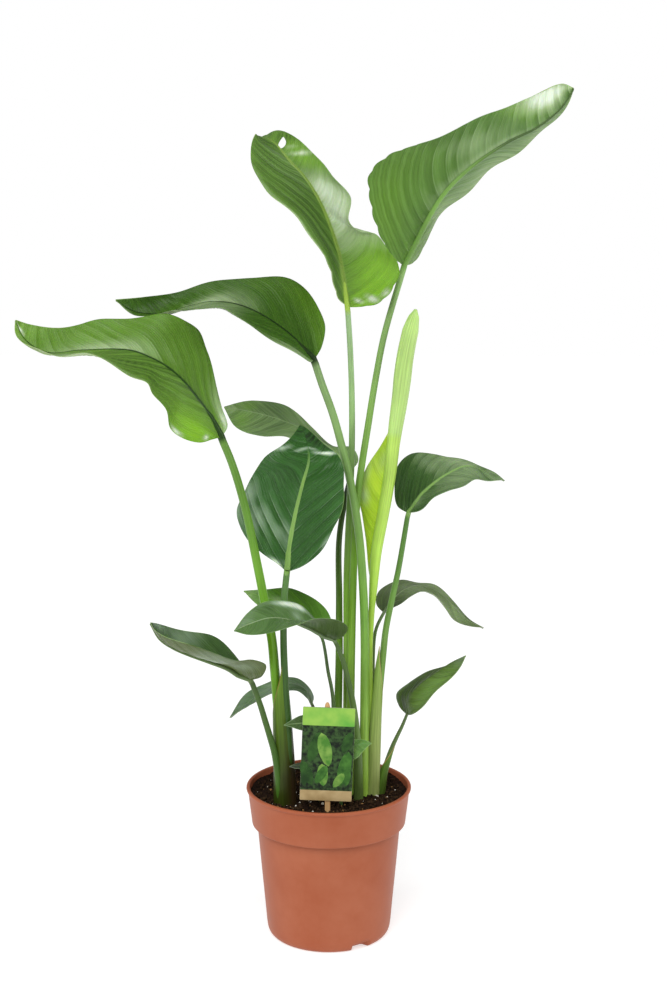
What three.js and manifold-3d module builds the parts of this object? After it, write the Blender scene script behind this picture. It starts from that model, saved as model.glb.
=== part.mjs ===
// A young bird of paradise plant (Strelitzia) in a moulded nursery pot.
// Millimetres, +Z up, +Y away from the front. The origin is on the floor under the middle of the pot.
import * as THREE from "three";
import { mergeVertices } from "three/addons/utils/BufferGeometryUtils.js";
import Module from "manifold-3d";

const wasm = await Module();
wasm.setup();

// Pot: outside radii and heights, wall and floor
const RIM_RADIUS = 95;
const POT_HEIGHT = 176;
const LIP_HEIGHT = 4;
const LIP_ROUNDING = 1.5;
const LIP_STEP = 0.4;
const COLLAR_TOP_RADIUS = 93.4;
const COLLAR_FOOT_RADIUS = 88.5;
const COLLAR_FOOT_HEIGHT = 131;
const BODY_TOP_RADIUS = 82.3;
const BODY_TOP_HEIGHT = 128;
const STEP_CHAMFER = 1.2;
const INSIDE_STEP_FOOT = 130;
const INSIDE_STEP_TOP = 133;
const BODY_FOOT_RADIUS = 71.4;
const FOOT_RADIUS = 65;
const FOOT_ROUNDING = 8;
const FOOT_CORNER = 1.6;
const POT_WALL = 2.4;
const POT_FLOOR = 3;
const POT_SEGMENTS = 36;

// Drain holes in the pot's floor and the notches in its foot
const DRAIN_HOLES = 6;
const DRAIN_HOLE_RADIUS = 4.5;
const DRAIN_RING_RADIUS = 38;
const NOTCHES = 2;
const NOTCH_ANGLE = 32;
const NOTCH_WIDTH = 20;
const NOTCH_HEIGHT = 8;
const NOTCH_DEPTH = 9;
const NOTCH_WALL = 2.4;

// How far a shape that only cuts reaches past what it cuts
const BEYOND = 20;

// Soil
const SOIL_TOP = 166;
const SOIL_UNEVENNESS = 1.6;
const SOIL_BUMPS = [11, 9, 17];
const SOIL_RINGS = 4;
const GAP = 0.35;
const HOLE_DEPTH = 80;
const HOLE_SIDES = 10;
const HOLE_SLACK = 0.3;

// Plant card and its stick
const CARD_WIDTH = 58;
const CARD_HEIGHT = 108;
const CARD_THICKNESS = 0.8;
const CARD_CORNER = 2.5;
const CARD_CENTRE = [-1.3, -63, 233.5];
const CARD_LEAN = -2.3;
const STICK_WIDTH = 6;
const STICK_THICKNESS = 1.6;
const STICK_FOOT = 96;
const STICK_TOP = 293;
const STICK_TIP = 7;
const STICK_X = -1.2;

// Leaves: thickness of a blade, where every stalk ends in the soil, and how finely large and small
// leaves are meshed: rows along the blade, columns across each half and sides round the stalk.
// Rows lie closer at a blade's ends.
const BLADE_THICKNESS = 0.8;
const SIMPLIFY = 0.05;
const ROW_EASE = 0.45;
const RIPPLE_PHASE = 1.7;
const STALK_FOOT = 128;
const STALK_STEP = 55;
const STALK_STRAIGHT = 6;
const RIB_STEPS = 4;
const RIB_END = 0.97;
const RIB_TIP_RADIUS = 0.8;
const RIB_SINK = 0.45;
const LARGE = { rows: 12, columns: 3, sides: 7 };
const MEDIUM = { rows: 8, columns: 2, sides: 6 };
const SMALL = { rows: 5, columns: 2, sides: 5 };

// Each leaf has a root in the soil, a stalk from there to the blade, and a blade between three lines
// that all run from the stalk's end to the tip: the midrib and the left and right margins, as seen
// from above the leaf. bow hollows the left and right halves, in parts of their width. wave ripples
// the margins: how many, how high.
const LEAVES = {
  leaf_upper_right: {
    color: 0x4b7a2c, mesh: LARGE, girth: [5, 3.4], bow: [-0.06, -0.06], wave: [4, 2.5],
    root: [24, -9],
    stalk: [[25, -7, 279], [26, -6, 349], [28, -3, 430], [32, 2, 509], [45, 6, 599], [53, 7, 649],
      [62, 7, 695], [83, 5, 769]],
    midrib: [[100, 0, 809], [124, -5, 848], [154, -5, 877], [192, -5, 902], [225, 0, 918],
      [251, 10, 938]],
    tip: [267, 20, 960],
    left: [[97, 24, 773], [111, 44, 802], [134, 58, 831], [175, 62, 867], [214, 50, 897],
      [248, 34, 925], [261, 24, 945]],
    right: [[65, -20, 783], [52, -30, 809], [45, -34, 837], [43, -30, 868], [63, -24, 887],
      [92, -18, 897], [116, -14, 905], [165, -6, 929], [193, 0, 939], [217, 4, 949], [252, 12, 964]],
  },
  leaf_top: {
    color: 0x4f7f2b, mesh: LARGE, girth: [5, 3], bow: [0.08, 0.05], wave: [5, 2],
    root: [20, 4],
    stalk: [[21, 6, 275], [21, 7, 346], [21, 9, 427], [24, 11, 508], [26, 11, 564], [26, 9, 621],
      [24, 5, 677], [21, 0, 724]],
    midrib: [[16, -8, 760], [10, -12, 788], [1, -12, 815], [-11, -8, 842], [-26, 0, 865],
      [-42, 10, 882], [-59, 25, 902], [-74, 45, 909]],
    tip: [-83, 62, 900],
    left: [[9, -5, 736], [2, -20, 765], [-12, -35, 791], [-28, -42, 815], [-46, -40, 832],
      [-67, -30, 852], [-80, -15, 870], [-84, 10, 897], [-80, 35, 912]],
    right: [[53, -10, 728], [71, -25, 747], [77, -32, 768], [64, -36, 786], [51, -30, 804],
      [34, -24, 807], [21, -30, 819], [23, -36, 843], [4, -24, 867], [-13, -4, 886], [-33, 18, 905],
      [-58, 42, 917]],
  },
  leaf_high_left: {
    color: 0x3c6b26, mesh: LARGE, girth: [5.5, 4.2], bow: [0.05, 0.08], wave: [3, 3],
    root: [40.5, -8],
    stalk: [[41, -9, 280], [41, -11, 351], [39, -13, 409], [34, -14, 472], [24, -14, 534],
      [15, -12, 571], [5, -8, 607], [-8, 0, 642], [-16, 5, 666]],
    midrib: [[-32, 5, 685], [-49, 5, 700], [-83, 5, 721], [-108, 5, 729], [-134, 5, 730],
      [-159, 8, 724], [-187, 20, 716], [-216, 28, 718]],
    tip: [-239, 34, 731],
    left: [[-22, -15, 665], [-48, -48, 687], [-80, -64, 706], [-98, -66, 716], [-113, -62, 726],
      [-137, -45, 728], [-161, -20, 722], [-186, 6, 716], [-215, 18, 716]],
    right: [[-7, 22, 681], [-3, 35, 703], [-12, 42, 723], [-28, 45, 742], [-50, 45, 755],
      [-86, 42, 757], [-119, 38, 751], [-170, 30, 740], [-208, 28, 734]],
  },
  leaf_far_left: {
    color: 0x6b9a33, mesh: LARGE, girth: [6.4, 4.2], bow: [0.05, 0.06], wave: [4, 3],
    root: [-50, -25],
    stalk: [[-53, -29, 234], [-57, -33, 281], [-60, -37, 322], [-63, -42, 360], [-69, -47, 395],
      [-77, -51, 441], [-91, -54, 512], [-104, -52, 557], [-116, -50, 587]],
    midrib: [[-126, -55, 611], [-139, -58, 630], [-154, -60, 649], [-171, -60, 664],
      [-189, -60, 674], [-212, -60, 682], [-265, -60, 682], [-300, -55, 679], [-326, -45, 692]],
    tip: [-338, -35, 713],
    left: [[-125, -68, 587], [-137, -85, 586], [-152, -92, 592], [-165, -98, 603], [-170, -106, 622],
      [-183, -112, 639], [-187, -120, 655], [-204, -125, 663], [-251, -125, 683], [-285, -105, 682],
      [-315, -75, 686], [-336, -45, 701]],
    right: [[-110, -38, 598], [-116, -20, 618], [-127, -10, 647], [-133, -5, 677], [-141, -5, 700],
      [-158, -14, 710], [-181, -18, 717], [-241, -22, 712], [-273, -22, 706], [-302, -28, 705],
      [-325, -32, 708]],
  },
  leaf_behind_left: {
    color: 0x476f35, mesh: MEDIUM, girth: [5.5, 2.9], bow: [0.05, 0.05], wave: [2, 2],
    root: [8, -4],
    stalk: [[11, -3, 278], [12, 6, 334], [12, 20, 390], [12, 36, 457], [19, 45, 502], [27, 48, 536]],
    midrib: [[11, 52, 553], [-21, 55, 578], [-56, 52, 594], [-90, 45, 604]],
    tip: [-119, 38, 610],
    left: [[14, 38, 541], [-19, 30, 559], [-44, 22, 577], [-75, 18, 578], [-104, 25, 589]],
    right: [[34, 56, 546], [27, 66, 560], [6, 78, 561], [-20, 88, 579], [-52, 85, 607],
      [-85, 65, 615]],
  },
  leaf_dark_front: {
    color: 0x23501f, mesh: LARGE, girth: [4.6, 3.6], bow: [0.06, 0.06], wave: [3, 2],
    root: [-45.5, -36],
    stalk: [[-45, -40, 242], [-48, -43, 301], [-50, -43, 359], [-49, -43, 405], [-46, -42, 436]],
    midrib: [[-43, -46, 467], [-37, -48, 501], [-29, -46, 534], [-22, -38, 559], [-23, -20, 572],
      [-27, 2, 584]],
    tip: [-32, 20, 592],
    left: [[-56, -40, 445], [-74, -34, 456], [-89, -27, 467], [-98, -22, 483], [-101, -19, 501],
      [-95, -17, 518], [-87, -16, 537], [-71, -14, 558], [-53, -8, 571], [-41, 6, 582]],
    right: [[-31, -40, 441], [-18, -36, 448], [-6, -34, 460], [5, -32, 484], [14, -31, 500],
      [18, -31, 516], [17, -31, 532], [16, -28, 550], [10, -20, 563], [-4, -4, 574], [-21, 12, 586]],
  },
  leaf_right: {
    color: 0x3f6c2d, mesh: MEDIUM, girth: [5.2, 2.9], bow: [0.06, 0.06], wave: [3, 2],
    root: [49, -1],
    stalk: [[53, -3, 227], [57, -1, 279], [62, 2, 330], [65, 3, 359], [71, 5, 390], [79, 9, 427],
      [90, 18, 491]],
    midrib: [[103, 12, 512], [118, 8, 527], [136, 5, 540], [156, 5, 548], [177, 8, 540]],
    tip: [199, 14, 529],
    left: [[79, 32, 497], [75, 40, 514], [77, 45, 538], [94, 45, 554], [118, 40, 557],
      [140, 32, 553], [164, 22, 547], [186, 16, 540]],
    right: [[100, 0, 497], [120, -25, 517], [133, -35, 528], [151, -32, 531], [163, -20, 535],
      [183, -2, 532]],
  },
  leaf_lower_right: {
    color: 0x41663a, mesh: MEDIUM, girth: [2.6, 1.9], bow: [0.05, 0.05], wave: [2, 2],
    root: [50, 8],
    stalk: [[52, 8, 275], [51, 12, 321], [54, 20, 354], [63, 30, 372]],
    midrib: [[73, 38, 385], [88, 44, 397], [107, 49, 400], [126, 53, 393], [144, 56, 376],
      [161, 56, 358]],
    tip: [182, 53, 348],
    left: [[56, 52, 377], [59, 70, 388], [72, 80, 397], [87, 84, 401], [106, 86, 395],
      [124, 84, 392], [148, 77, 374], [167, 66, 356]],
    right: [[72, 22, 379], [82, 16, 387], [92, 14, 396], [106, 15, 401], [120, 18, 394],
      [134, 24, 378], [147, 33, 363], [166, 44, 352]],
  },
  leaf_mid_back: {
    color: 0x3d7323, mesh: MEDIUM, girth: [3, 1.8], bow: [0.05, 0.05], wave: [1, 1],
    root: [1, -17],
    stalk: [[5, -16, 282], [-1, -4, 314], [-4, 8, 332], [-7, 15, 346]],
    midrib: [[-19, 10, 366], [-36, 5, 382], [-57, 0, 393]],
    tip: [-96, -8, 407],
    left: [[-15, -4, 356], [-35, -10, 367], [-57, -15, 380], [-80, -12, 392]],
    right: [[3, 28, 358], [-1, 35, 372], [-12, 38, 384], [-27, 36, 394], [-45, 30, 402],
      [-74, 10, 404]],
  },
  leaf_mid_front: {
    color: 0x3a6327, mesh: MEDIUM, girth: [6.4, 2.4], bow: [0.05, 0.05], wave: [2, 1],
    root: [34, -21],
    stalk: [[33, -24, 231], [28, -27, 278], [24, -28, 299], [16, -30, 333], [7, -32, 356]],
    midrib: [[-7, -45, 367], [-23, -58, 379], [-40, -72, 389], [-63, -90, 396], [-84, -104, 393]],
    tip: [-101, -112, 387],
    left: [[16, -52, 365], [21, -68, 380], [10, -80, 392], [-12, -95, 397], [-32, -110, 393],
      [-61, -125, 389], [-84, -122, 386]],
    right: [[-1, -20, 365], [-15, -25, 380], [-30, -42, 398], [-49, -58, 407], [-70, -78, 411],
      [-87, -96, 403]],
  },
  leaf_low_left: {
    color: 0x3f6a35, mesh: MEDIUM, girth: [4.7, 3.2], bow: [0.06, 0.06], wave: [2, 2],
    root: [-55, -38],
    stalk: [[-60, -43, 225], [-66, -46, 250], [-71, -47, 268], [-76, -48, 286], [-86, -50, 315]],
    midrib: [[-98, -52, 323], [-111, -55, 332], [-131, -58, 340], [-153, -60, 348], [-170, -60, 355],
      [-185, -60, 365]],
    tip: [-196, -58, 383],
    left: [[-73, -75, 326], [-68, -92, 345], [-82, -100, 354], [-97, -104, 354], [-116, -108, 359],
      [-141, -108, 367], [-166, -98, 374], [-188, -75, 379]],
    right: [[-94, -30, 323], [-102, -22, 334], [-117, -18, 348], [-131, -18, 356], [-153, -22, 363],
      [-175, -30, 371], [-189, -45, 378]],
  },
  leaf_low_behind: {
    color: 0x4c6f43, mesh: MEDIUM, girth: [3, 1.9], bow: [0.05, 0.05], wave: [1, 1],
    root: [-4, 2],
    stalk: [[-4, 3, 216], [-11, 4, 250], [-19, 6, 270]],
    midrib: [[-26, 11, 286], [-41, 17, 292], [-62, 20, 288], [-82, 20, 277], [-99, 18, 264]],
    tip: [-115, 15, 251],
    left: [[-25, -8, 281], [-35, -14, 291], [-48, -16, 292], [-67, -14, 288], [-85, -8, 277],
      [-101, 4, 264]],
    right: [[-18, 26, 274], [-24, 38, 282], [-37, 50, 289], [-55, 50, 290], [-76, 46, 283],
      [-97, 34, 274]],
  },
  leaf_small_left: {
    color: 0x35592f, mesh: SMALL, girth: [2.4, 1.5], bow: [0.05, 0.05], wave: [1, 0.5],
    root: [-6, -26],
    stalk: [[2, -26, 214], [4, -26, 238], [2, -30, 258]],
    midrib: [[-14, -38, 263], [-32, -46, 264]],
    tip: [-50, -53, 264],
    left: [[-7, -42, 254], [-29, -53, 258], [-41, -54, 262]],
    right: [[-8, -22, 265], [-29, -34, 270], [-41, -46, 268]],
  },
  leaf_outer_right: {
    color: 0x2f5c22, mesh: MEDIUM, girth: [4.8, 1.7], bow: [0.06, 0.06], wave: [2, 1],
    root: [58.5, 4],
    stalk: [[66, 4, 198], [72, 5, 216], [78, 6, 230], [84, 8, 242], [90, 10, 256]],
    midrib: [[92, 6, 278], [105, 4, 295], [123, 6, 308], [141, 10, 319]],
    tip: [158, 14, 326],
    left: [[82, 24, 263], [79, 32, 275], [92, 36, 287], [112, 34, 299], [132, 26, 309],
      [148, 18, 319]],
    right: [[96, -6, 262], [107, -18, 275], [120, -24, 292], [136, -18, 306], [151, 0, 317]],
  },
  leaf_small_right: {
    color: 0x3b6338, mesh: SMALL, girth: [2.2, 1.4], bow: [0.05, 0.05], wave: [1, 0.5],
    root: [14, -40],
    stalk: [[14, -41, 208], [16, -46, 229]],
    midrib: [[26, -50, 238], [37, -52, 242]],
    tip: [48, -53, 243],
    left: [[21, -42, 241], [33, -44, 245], [42, -49, 245]],
    right: [[21, -53, 223], [31, -60, 228], [41, -58, 238]],
  },
  leaf_tiny_left: {
    color: 0x2f4a2a, mesh: SMALL, girth: [2, 1.2], bow: [0.03, 0.03], wave: [1, 0.5],
    root: [-10, -33],
    stalk: [[-10, -33, 192], [-12, -36, 208]],
    midrib: [[-23, -42, 213], [-33, -46, 215]],
    tip: [-44, -50, 215],
    left: [[-21, -44, 207], [-30, -50, 212], [-38, -51, 213]],
    right: [[-21, -34, 213], [-30, -39, 216], [-38, -45, 216]],
  },
};

// The young leaf is a rolled spindle on its stalk, with the lower part of one margin unrolled as a flap.
// Its radii are given at parts of the way from the root to the top.
const FURLED_SIDES = 8;
const FURLED_STEPS = 18;
const FURLED = {
  name: "leaf_furled", color: 0xb9d658, mesh: MEDIUM, bow: [0, 0.1], wave: [1, 0.5],
  root: [41, 3.5],
  roll: [[47, 1, 277], [47, 2, 347], [50, 4, 399], [54, 5, 449], [62, 6, 494], [69, 6, 538],
    [74, 6, 582], [80, 5, 625], [85, 4, 668], [90, 3, 695], [96, 0, 722]],
  radii: [[0, 3.4], [0.43, 3.6], [0.5, 5.6], [0.56, 6.6], [0.74, 7.2], [0.8, 8.6], [0.87, 9.8],
    [0.96, 8.8], [0.985, 6], [1, 1.5]],
  base: [50, 4, 408],
  midrib: [[54, 6, 440], [62, 7, 508], [71, 8, 559]],
  tip: [79, 8, 601],
  left: [[57, 3, 440], [65, 4, 509], [74, 5, 560]],
  right: [[46, 8, 422], [42, 11, 463], [38, 13, 490], [34, 14, 515], [42, 13, 543], [58, 11, 569],
    [70, 9, 590]],
};

const curveThrough = (points) => new THREE.CatmullRomCurve3(
  points.map((point) => new THREE.Vector3(...point)));

function weld(geometry) {
  geometry.deleteAttribute("normal");
  geometry.deleteAttribute("uv");
  return mergeVertices(geometry, 1e-3);
}

// Closed geometry to solid and back
function solidOf(geometry) {
  const welded = weld(geometry);
  const vertProperties = new Float32Array(welded.attributes.position.array);
  return new wasm.Manifold(new wasm.Mesh({ numProp: 3, vertProperties, triVerts: facesOf(welded).flat() }));
}

function geometryOf(solid) {
  const mesh = solid.simplify(SIMPLIFY).getMesh();
  const geometry = new THREE.BufferGeometry();
  geometry.setAttribute("position", new THREE.BufferAttribute(new Float32Array(mesh.vertProperties), 3));
  geometry.setIndex(new THREE.BufferAttribute(new Uint32Array(mesh.triVerts), 1));
  return geometry.toNonIndexed();
}

function facesOf(geometry) {
  const index = geometry.index.array;
  const faces = [];
  for (let i = 0; i < index.length; i += 3) {
    const [a, b, c] = index.slice(i, i + 3);
    if (a !== b && b !== c && c !== a) faces.push([a, b, c]);
  }
  return faces;
}

// A stalk: a cylinder bent along a curve, with its radius a function of the part of the way along
function stalk(curve, radiusAt, sides, steps) {
  const frames = curve.computeFrenetFrames(steps);
  const geometry = new THREE.CylinderGeometry(1, 1, 1, sides, steps);
  const position = geometry.attributes.position;
  for (let i = 0; i < position.count; i += 1) {
    const along = position.getY(i) + 0.5;
    const step = Math.round(along * steps);
    const radius = radiusAt(along);
    const point = curve.getPointAt(along);
    point.addScaledVector(frames.normals[step], position.getX(i) * radius);
    point.addScaledVector(frames.binormals[step], -position.getZ(i) * radius);
    position.setXYZ(i, point.x, point.y, point.z);
  }
  return geometry;
}

function interpolate(pairs, at) {
  const next = Math.max(1, pairs.findIndex(([part]) => part >= at));
  const [from, start] = pairs[next - 1];
  const [to, end] = pairs[next];
  return THREE.MathUtils.lerp(start, end, (at - from) / (to - from));
}

// The three lines of a blade
function outline(leaf, base) {
  return {
    midrib: curveThrough([base, ...leaf.midrib, leaf.tip]),
    left: curveThrough([base, ...leaf.left, leaf.tip]),
    right: curveThrough([base, ...leaf.right, leaf.tip]),
  };
}

// A point of the blade: along from base 0 to tip 1, across from left margin -1 over midrib 0 to
// right margin 1
function bladePoint(leaf, lines, along, across) {
  const side = Math.sign(across) || 1;
  const part = Math.abs(across);
  const centre = lines.midrib.getPointAt(along);
  const out = (side < 0 ? lines.left : lines.right).getPointAt(along).sub(centre);
  const normal = lines.midrib.getTangentAt(along).cross(out).multiplyScalar(-side).normalize();
  const bow = leaf.bow[side < 0 ? 0 : 1] * out.length() * 4 * part * (1 - part);
  const [ripples, height] = leaf.wave;
  const phase = side < 0 ? 0 : RIPPLE_PHASE;
  const fade = part ** 2 * Math.sqrt(Math.max(0, Math.sin(Math.PI * along)));
  const ripple = height * Math.sin(2 * Math.PI * ripples * along + phase) * fade;
  return centre.addScaledVector(out, part).addScaledVector(normal, ripple - bow);
}

const easeEnds = (t) => THREE.MathUtils.lerp(t, (1 - Math.cos(Math.PI * t)) / 2, ROW_EASE);

// A blade: the sheet between the lines, doubled to its thickness and closed along its edge.
// Both faces have the same triangles, so they never cross.
function blade(leaf, lines) {
  const { rows, columns } = leaf.mesh;
  const plane = new THREE.PlaneGeometry(2, 1, 2 * columns, rows);
  const grid = plane.attributes.position;
  for (let i = 0; i < grid.count; i += 1) {
    const point = bladePoint(leaf, lines, easeEnds(grid.getY(i) + 0.5), grid.getX(i));
    grid.setXYZ(i, point.x, point.y, point.z);
  }
  const sheet = weld(plane);
  const faces = facesOf(sheet);
  sheet.setIndex(faces.flat());
  sheet.computeVertexNormals();
  const { position, normal } = sheet.attributes;
  const vertices = [];
  for (const side of [1, -1]) {
    for (let i = 0; i < position.count; i += 1) {
      const point = new THREE.Vector3().fromBufferAttribute(position, i);
      const upper = new THREE.Vector3().fromBufferAttribute(normal, i);
      vertices.push(...point.addScaledVector(upper, side * BLADE_THICKNESS / 2).toArray());
    }
  }
  const back = (vertex) => vertex + position.count;
  const edges = faces.flatMap(([a, b, c]) => [[a, b], [b, c], [c, a]]);
  const known = new Set(edges.map(([a, b]) => `${a}-${b}`));
  const rim = edges.filter(([a, b]) => !known.has(`${b}-${a}`));
  const closed = [
    ...faces,
    ...faces.map(([a, b, c]) => [back(a), back(c), back(b)]),
    ...rim.flatMap(([a, b]) => [[b, a, back(a)], [b, back(a), back(b)]]),
  ];
  const geometry = new THREE.BufferGeometry();
  geometry.setAttribute("position", new THREE.BufferAttribute(new Float32Array(vertices), 3));
  geometry.setIndex(closed.flat());
  return geometry;
}

// The line of stalk and midrib in one, with the midrib set toward the leaf's underside
function ribLine(leaf, lines, radiusAtBase) {
  const { length } = leaf.midrib;
  const sunk = leaf.midrib.map((_, i) => {
    const along = (i + 1) / (length + 1);
    const across = lines.right.getPointAt(along).sub(lines.left.getPointAt(along));
    const up = across.cross(lines.midrib.getTangentAt(along)).normalize();
    const radius = THREE.MathUtils.lerp(radiusAtBase, RIB_TIP_RADIUS, along);
    return lines.midrib.getPointAt(along).addScaledVector(up, -RIB_SINK * radius).toArray();
  });
  const end = lines.midrib.getPointAt(RIB_END).toArray();
  return curveThrough([...stalkPoints(leaf), ...sunk, end]);
}

function stalkPoints(leaf) {
  const [x, y] = leaf.root;
  return [[x, y, STALK_FOOT], [x, y, SOIL_TOP + STALK_STRAIGHT], ...(leaf.stalk ?? leaf.roll)];
}

function leafSolid(leaf) {
  const lines = outline(leaf, leaf.stalk.at(-1));
  const [footRadius, baseRadius] = leaf.girth;
  const curve = ribLine(leaf, lines, baseRadius);
  const stalkShare = curveThrough(stalkPoints(leaf)).getLength() / curve.getLength();
  const radii = [[0, footRadius], [stalkShare, baseRadius], [1, RIB_TIP_RADIUS]];
  const steps = Math.round(curve.getLength() / STALK_STEP) + RIB_STEPS;
  const rib = stalk(curve, (along) => interpolate(radii, along), leaf.mesh.sides, steps);
  return solidOf(rib).add(solidOf(blade(leaf, lines)));
}

function furledSolid(leaf) {
  const curve = curveThrough(stalkPoints(leaf));
  const roll = stalk(curve, (along) => interpolate(leaf.radii, along), FURLED_SIDES, FURLED_STEPS);
  return solidOf(roll).add(solidOf(blade(leaf, outline(leaf, leaf.base))));
}

// The room that a stalk needs in the soil: a plain round hole
function stalkHole(leaf) {
  const [x, y] = leaf.root;
  const radius = (leaf.girth ?? [leaf.radii[0][1]])[0] + GAP + HOLE_SLACK;
  const hole = new THREE.CylinderGeometry(radius, radius, HOLE_DEPTH, HOLE_SIDES);
  hole.rotateX(Math.PI / 2).translate(x, y, STALK_FOOT - GAP + HOLE_DEPTH / 2);
  return solidOf(hole);
}

const lathe = (profile, segments) => new THREE.LatheGeometry(
  profile.map(([r, z]) => new THREE.Vector2(r, z)), segments).rotateX(Math.PI / 2);

// Radius of the pot's inside at a height
function innerRadius(z) {
  const inside = [
    [POT_FLOOR, BODY_FOOT_RADIUS - POT_WALL - FOOT_CORNER],
    [INSIDE_STEP_FOOT, BODY_TOP_RADIUS - POT_WALL],
    [INSIDE_STEP_TOP, COLLAR_FOOT_RADIUS - POT_WALL],
    [POT_HEIGHT, COLLAR_TOP_RADIUS - POT_WALL],
  ];
  return interpolate(inside, z);
}

// The blocks round the foot that stand in for its notches: wider and taller by the given amount
function notchBlocks(grow, inward) {
  const depth = NOTCH_DEPTH + inward + BEYOND;
  const height = NOTCH_HEIGHT + grow + BEYOND;
  return Array.from({ length: NOTCHES }, (_, i) => {
    const block = new THREE.BoxGeometry(NOTCH_WIDTH + 2 * grow, depth, height);
    block.translate(0, -(FOOT_RADIUS - NOTCH_DEPTH - inward + depth / 2), NOTCH_HEIGHT + grow - height / 2);
    block.rotateZ(THREE.MathUtils.degToRad(NOTCH_ANGLE + i * 360 / NOTCHES));
    return solidOf(block);
  });
}

function potSolid() {
  const outside = [
    [0, 0], [FOOT_RADIUS, 0],
    [FOOT_RADIUS + 2 * FOOT_CORNER, FOOT_CORNER],
    [BODY_FOOT_RADIUS, FOOT_ROUNDING],
    [BODY_TOP_RADIUS, BODY_TOP_HEIGHT],
    [COLLAR_FOOT_RADIUS - LIP_ROUNDING, COLLAR_FOOT_HEIGHT - STEP_CHAMFER],
    [COLLAR_FOOT_RADIUS, COLLAR_FOOT_HEIGHT],
    [COLLAR_TOP_RADIUS, POT_HEIGHT - LIP_HEIGHT],
    [RIM_RADIUS - LIP_STEP, POT_HEIGHT - LIP_HEIGHT + LIP_STEP],
    [RIM_RADIUS, POT_HEIGHT - LIP_ROUNDING],
    [RIM_RADIUS - LIP_STEP, POT_HEIGHT - LIP_STEP],
    [RIM_RADIUS - LIP_ROUNDING, POT_HEIGHT],
  ];
  const inside = [
    [innerRadius(POT_HEIGHT), POT_HEIGHT - LIP_STEP], [innerRadius(INSIDE_STEP_TOP), INSIDE_STEP_TOP],
    [innerRadius(INSIDE_STEP_FOOT), INSIDE_STEP_FOOT], [innerRadius(POT_FLOOR), POT_FLOOR], [0, POT_FLOOR],
  ];
  const bulk = solidOf(lathe([...outside, [0, POT_HEIGHT]], POT_SEGMENTS));
  let pot = solidOf(lathe([...outside, ...inside], POT_SEGMENTS));
  for (const boss of notchBlocks(NOTCH_WALL, NOTCH_WALL)) pot = pot.add(boss.intersect(bulk));
  for (const notch of notchBlocks(0, 0)) pot = pot.subtract(notch);
  for (let i = 0; i < DRAIN_HOLES; i += 1) {
    const angle = (i + 0.5) / DRAIN_HOLES * 2 * Math.PI;
    const r = DRAIN_HOLE_RADIUS;
    const hole = new THREE.CylinderGeometry(r, r, 4 * POT_FLOOR, HOLE_SIDES);
    hole.rotateX(Math.PI / 2);
    hole.translate(DRAIN_RING_RADIUS * Math.cos(angle), DRAIN_RING_RADIUS * Math.sin(angle), 0);
    pot = pot.subtract(solidOf(hole));
  }
  return pot;
}

function soilSolid() {
  const floor = POT_FLOOR + GAP;
  const levels = [floor, INSIDE_STEP_FOOT, INSIDE_STEP_TOP, SOIL_TOP];
  const side = levels.map((z) => [innerRadius(z) - GAP, z]);
  const top = Array.from({ length: SOIL_RINGS }, (_, i) => {
    const part = 1 - (i + 1) / SOIL_RINGS;
    return [part * side.at(-1)[0], SOIL_TOP];
  });
  const geometry = lathe([[0, floor], ...side, ...top], POT_SEGMENTS);
  const position = geometry.attributes.position;
  for (let i = 0; i < position.count; i += 1) {
    const [x, y, z] = [position.getX(i), position.getY(i), position.getZ(i)];
    const [across, back, slant] = SOIL_BUMPS;
    const unevenness = Math.sin(x / across) * Math.cos(y / back) + Math.sin((x - y) / slant);
    if (z > SOIL_TOP - 1) position.setZ(i, z + SOIL_UNEVENNESS / 2 * unevenness);
  }
  let soil = solidOf(geometry);
  for (const boss of notchBlocks(NOTCH_WALL + GAP, NOTCH_WALL + GAP)) soil = soil.subtract(boss);
  for (const leaf of [...Object.values(LEAVES), FURLED]) soil = soil.subtract(stalkHole(leaf));
  const slot = new THREE.BoxGeometry(STICK_WIDTH + 2 * GAP, STICK_THICKNESS + 2 * GAP, CARD_HEIGHT);
  slot.translate(STICK_X, stickY(), STICK_FOOT - GAP + CARD_HEIGHT / 2);
  return soil.subtract(solidOf(slot));
}

const stickY = () => CARD_CENTRE[1] + (CARD_THICKNESS + STICK_THICKNESS) / 2 + GAP;

// A flat shape given its thickness and stood up, facing the front
function upright(shape, depth) {
  const slab = new THREE.ExtrudeGeometry(shape, { depth, bevelEnabled: false, curveSegments: 4 });
  return slab.translate(0, 0, -depth / 2).rotateX(Math.PI / 2);
}

function cardGeometry() {
  const [w, h, r] = [CARD_WIDTH / 2, CARD_HEIGHT / 2, CARD_CORNER];
  const shape = new THREE.Shape();
  shape.moveTo(w, h - r);
  shape.absarc(w - r, h - r, r, 0, Math.PI / 2);
  shape.absarc(r - w, h - r, r, Math.PI / 2, Math.PI);
  shape.absarc(r - w, r - h, r, Math.PI, 1.5 * Math.PI);
  shape.absarc(w - r, r - h, r, 1.5 * Math.PI, 2 * Math.PI);
  return upright(shape, CARD_THICKNESS);
}

function stickGeometry() {
  const w = STICK_WIDTH / 2;
  const height = STICK_TOP - STICK_FOOT;
  const shape = new THREE.Shape();
  shape.moveTo(-w, 0);
  shape.lineTo(w, 0);
  shape.lineTo(w, height - STICK_TIP);
  shape.quadraticCurveTo(w, height, 0, height);
  shape.quadraticCurveTo(-w, height, -w, height - STICK_TIP);
  return upright(shape, STICK_THICKNESS);
}

function meshOf(name, geometry, color, roughness) {
  const mesh = new THREE.Mesh(geometry, new THREE.MeshStandardMaterial({ color, roughness, metalness: 0 }));
  mesh.name = name;
  return mesh;
}

const group = new THREE.Group();
group.add(meshOf("pot", geometryOf(potSolid()), 0xb5664a, 0.5));
group.add(meshOf("soil", geometryOf(soilSolid()), 0x2b1d16, 0.95));

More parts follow.
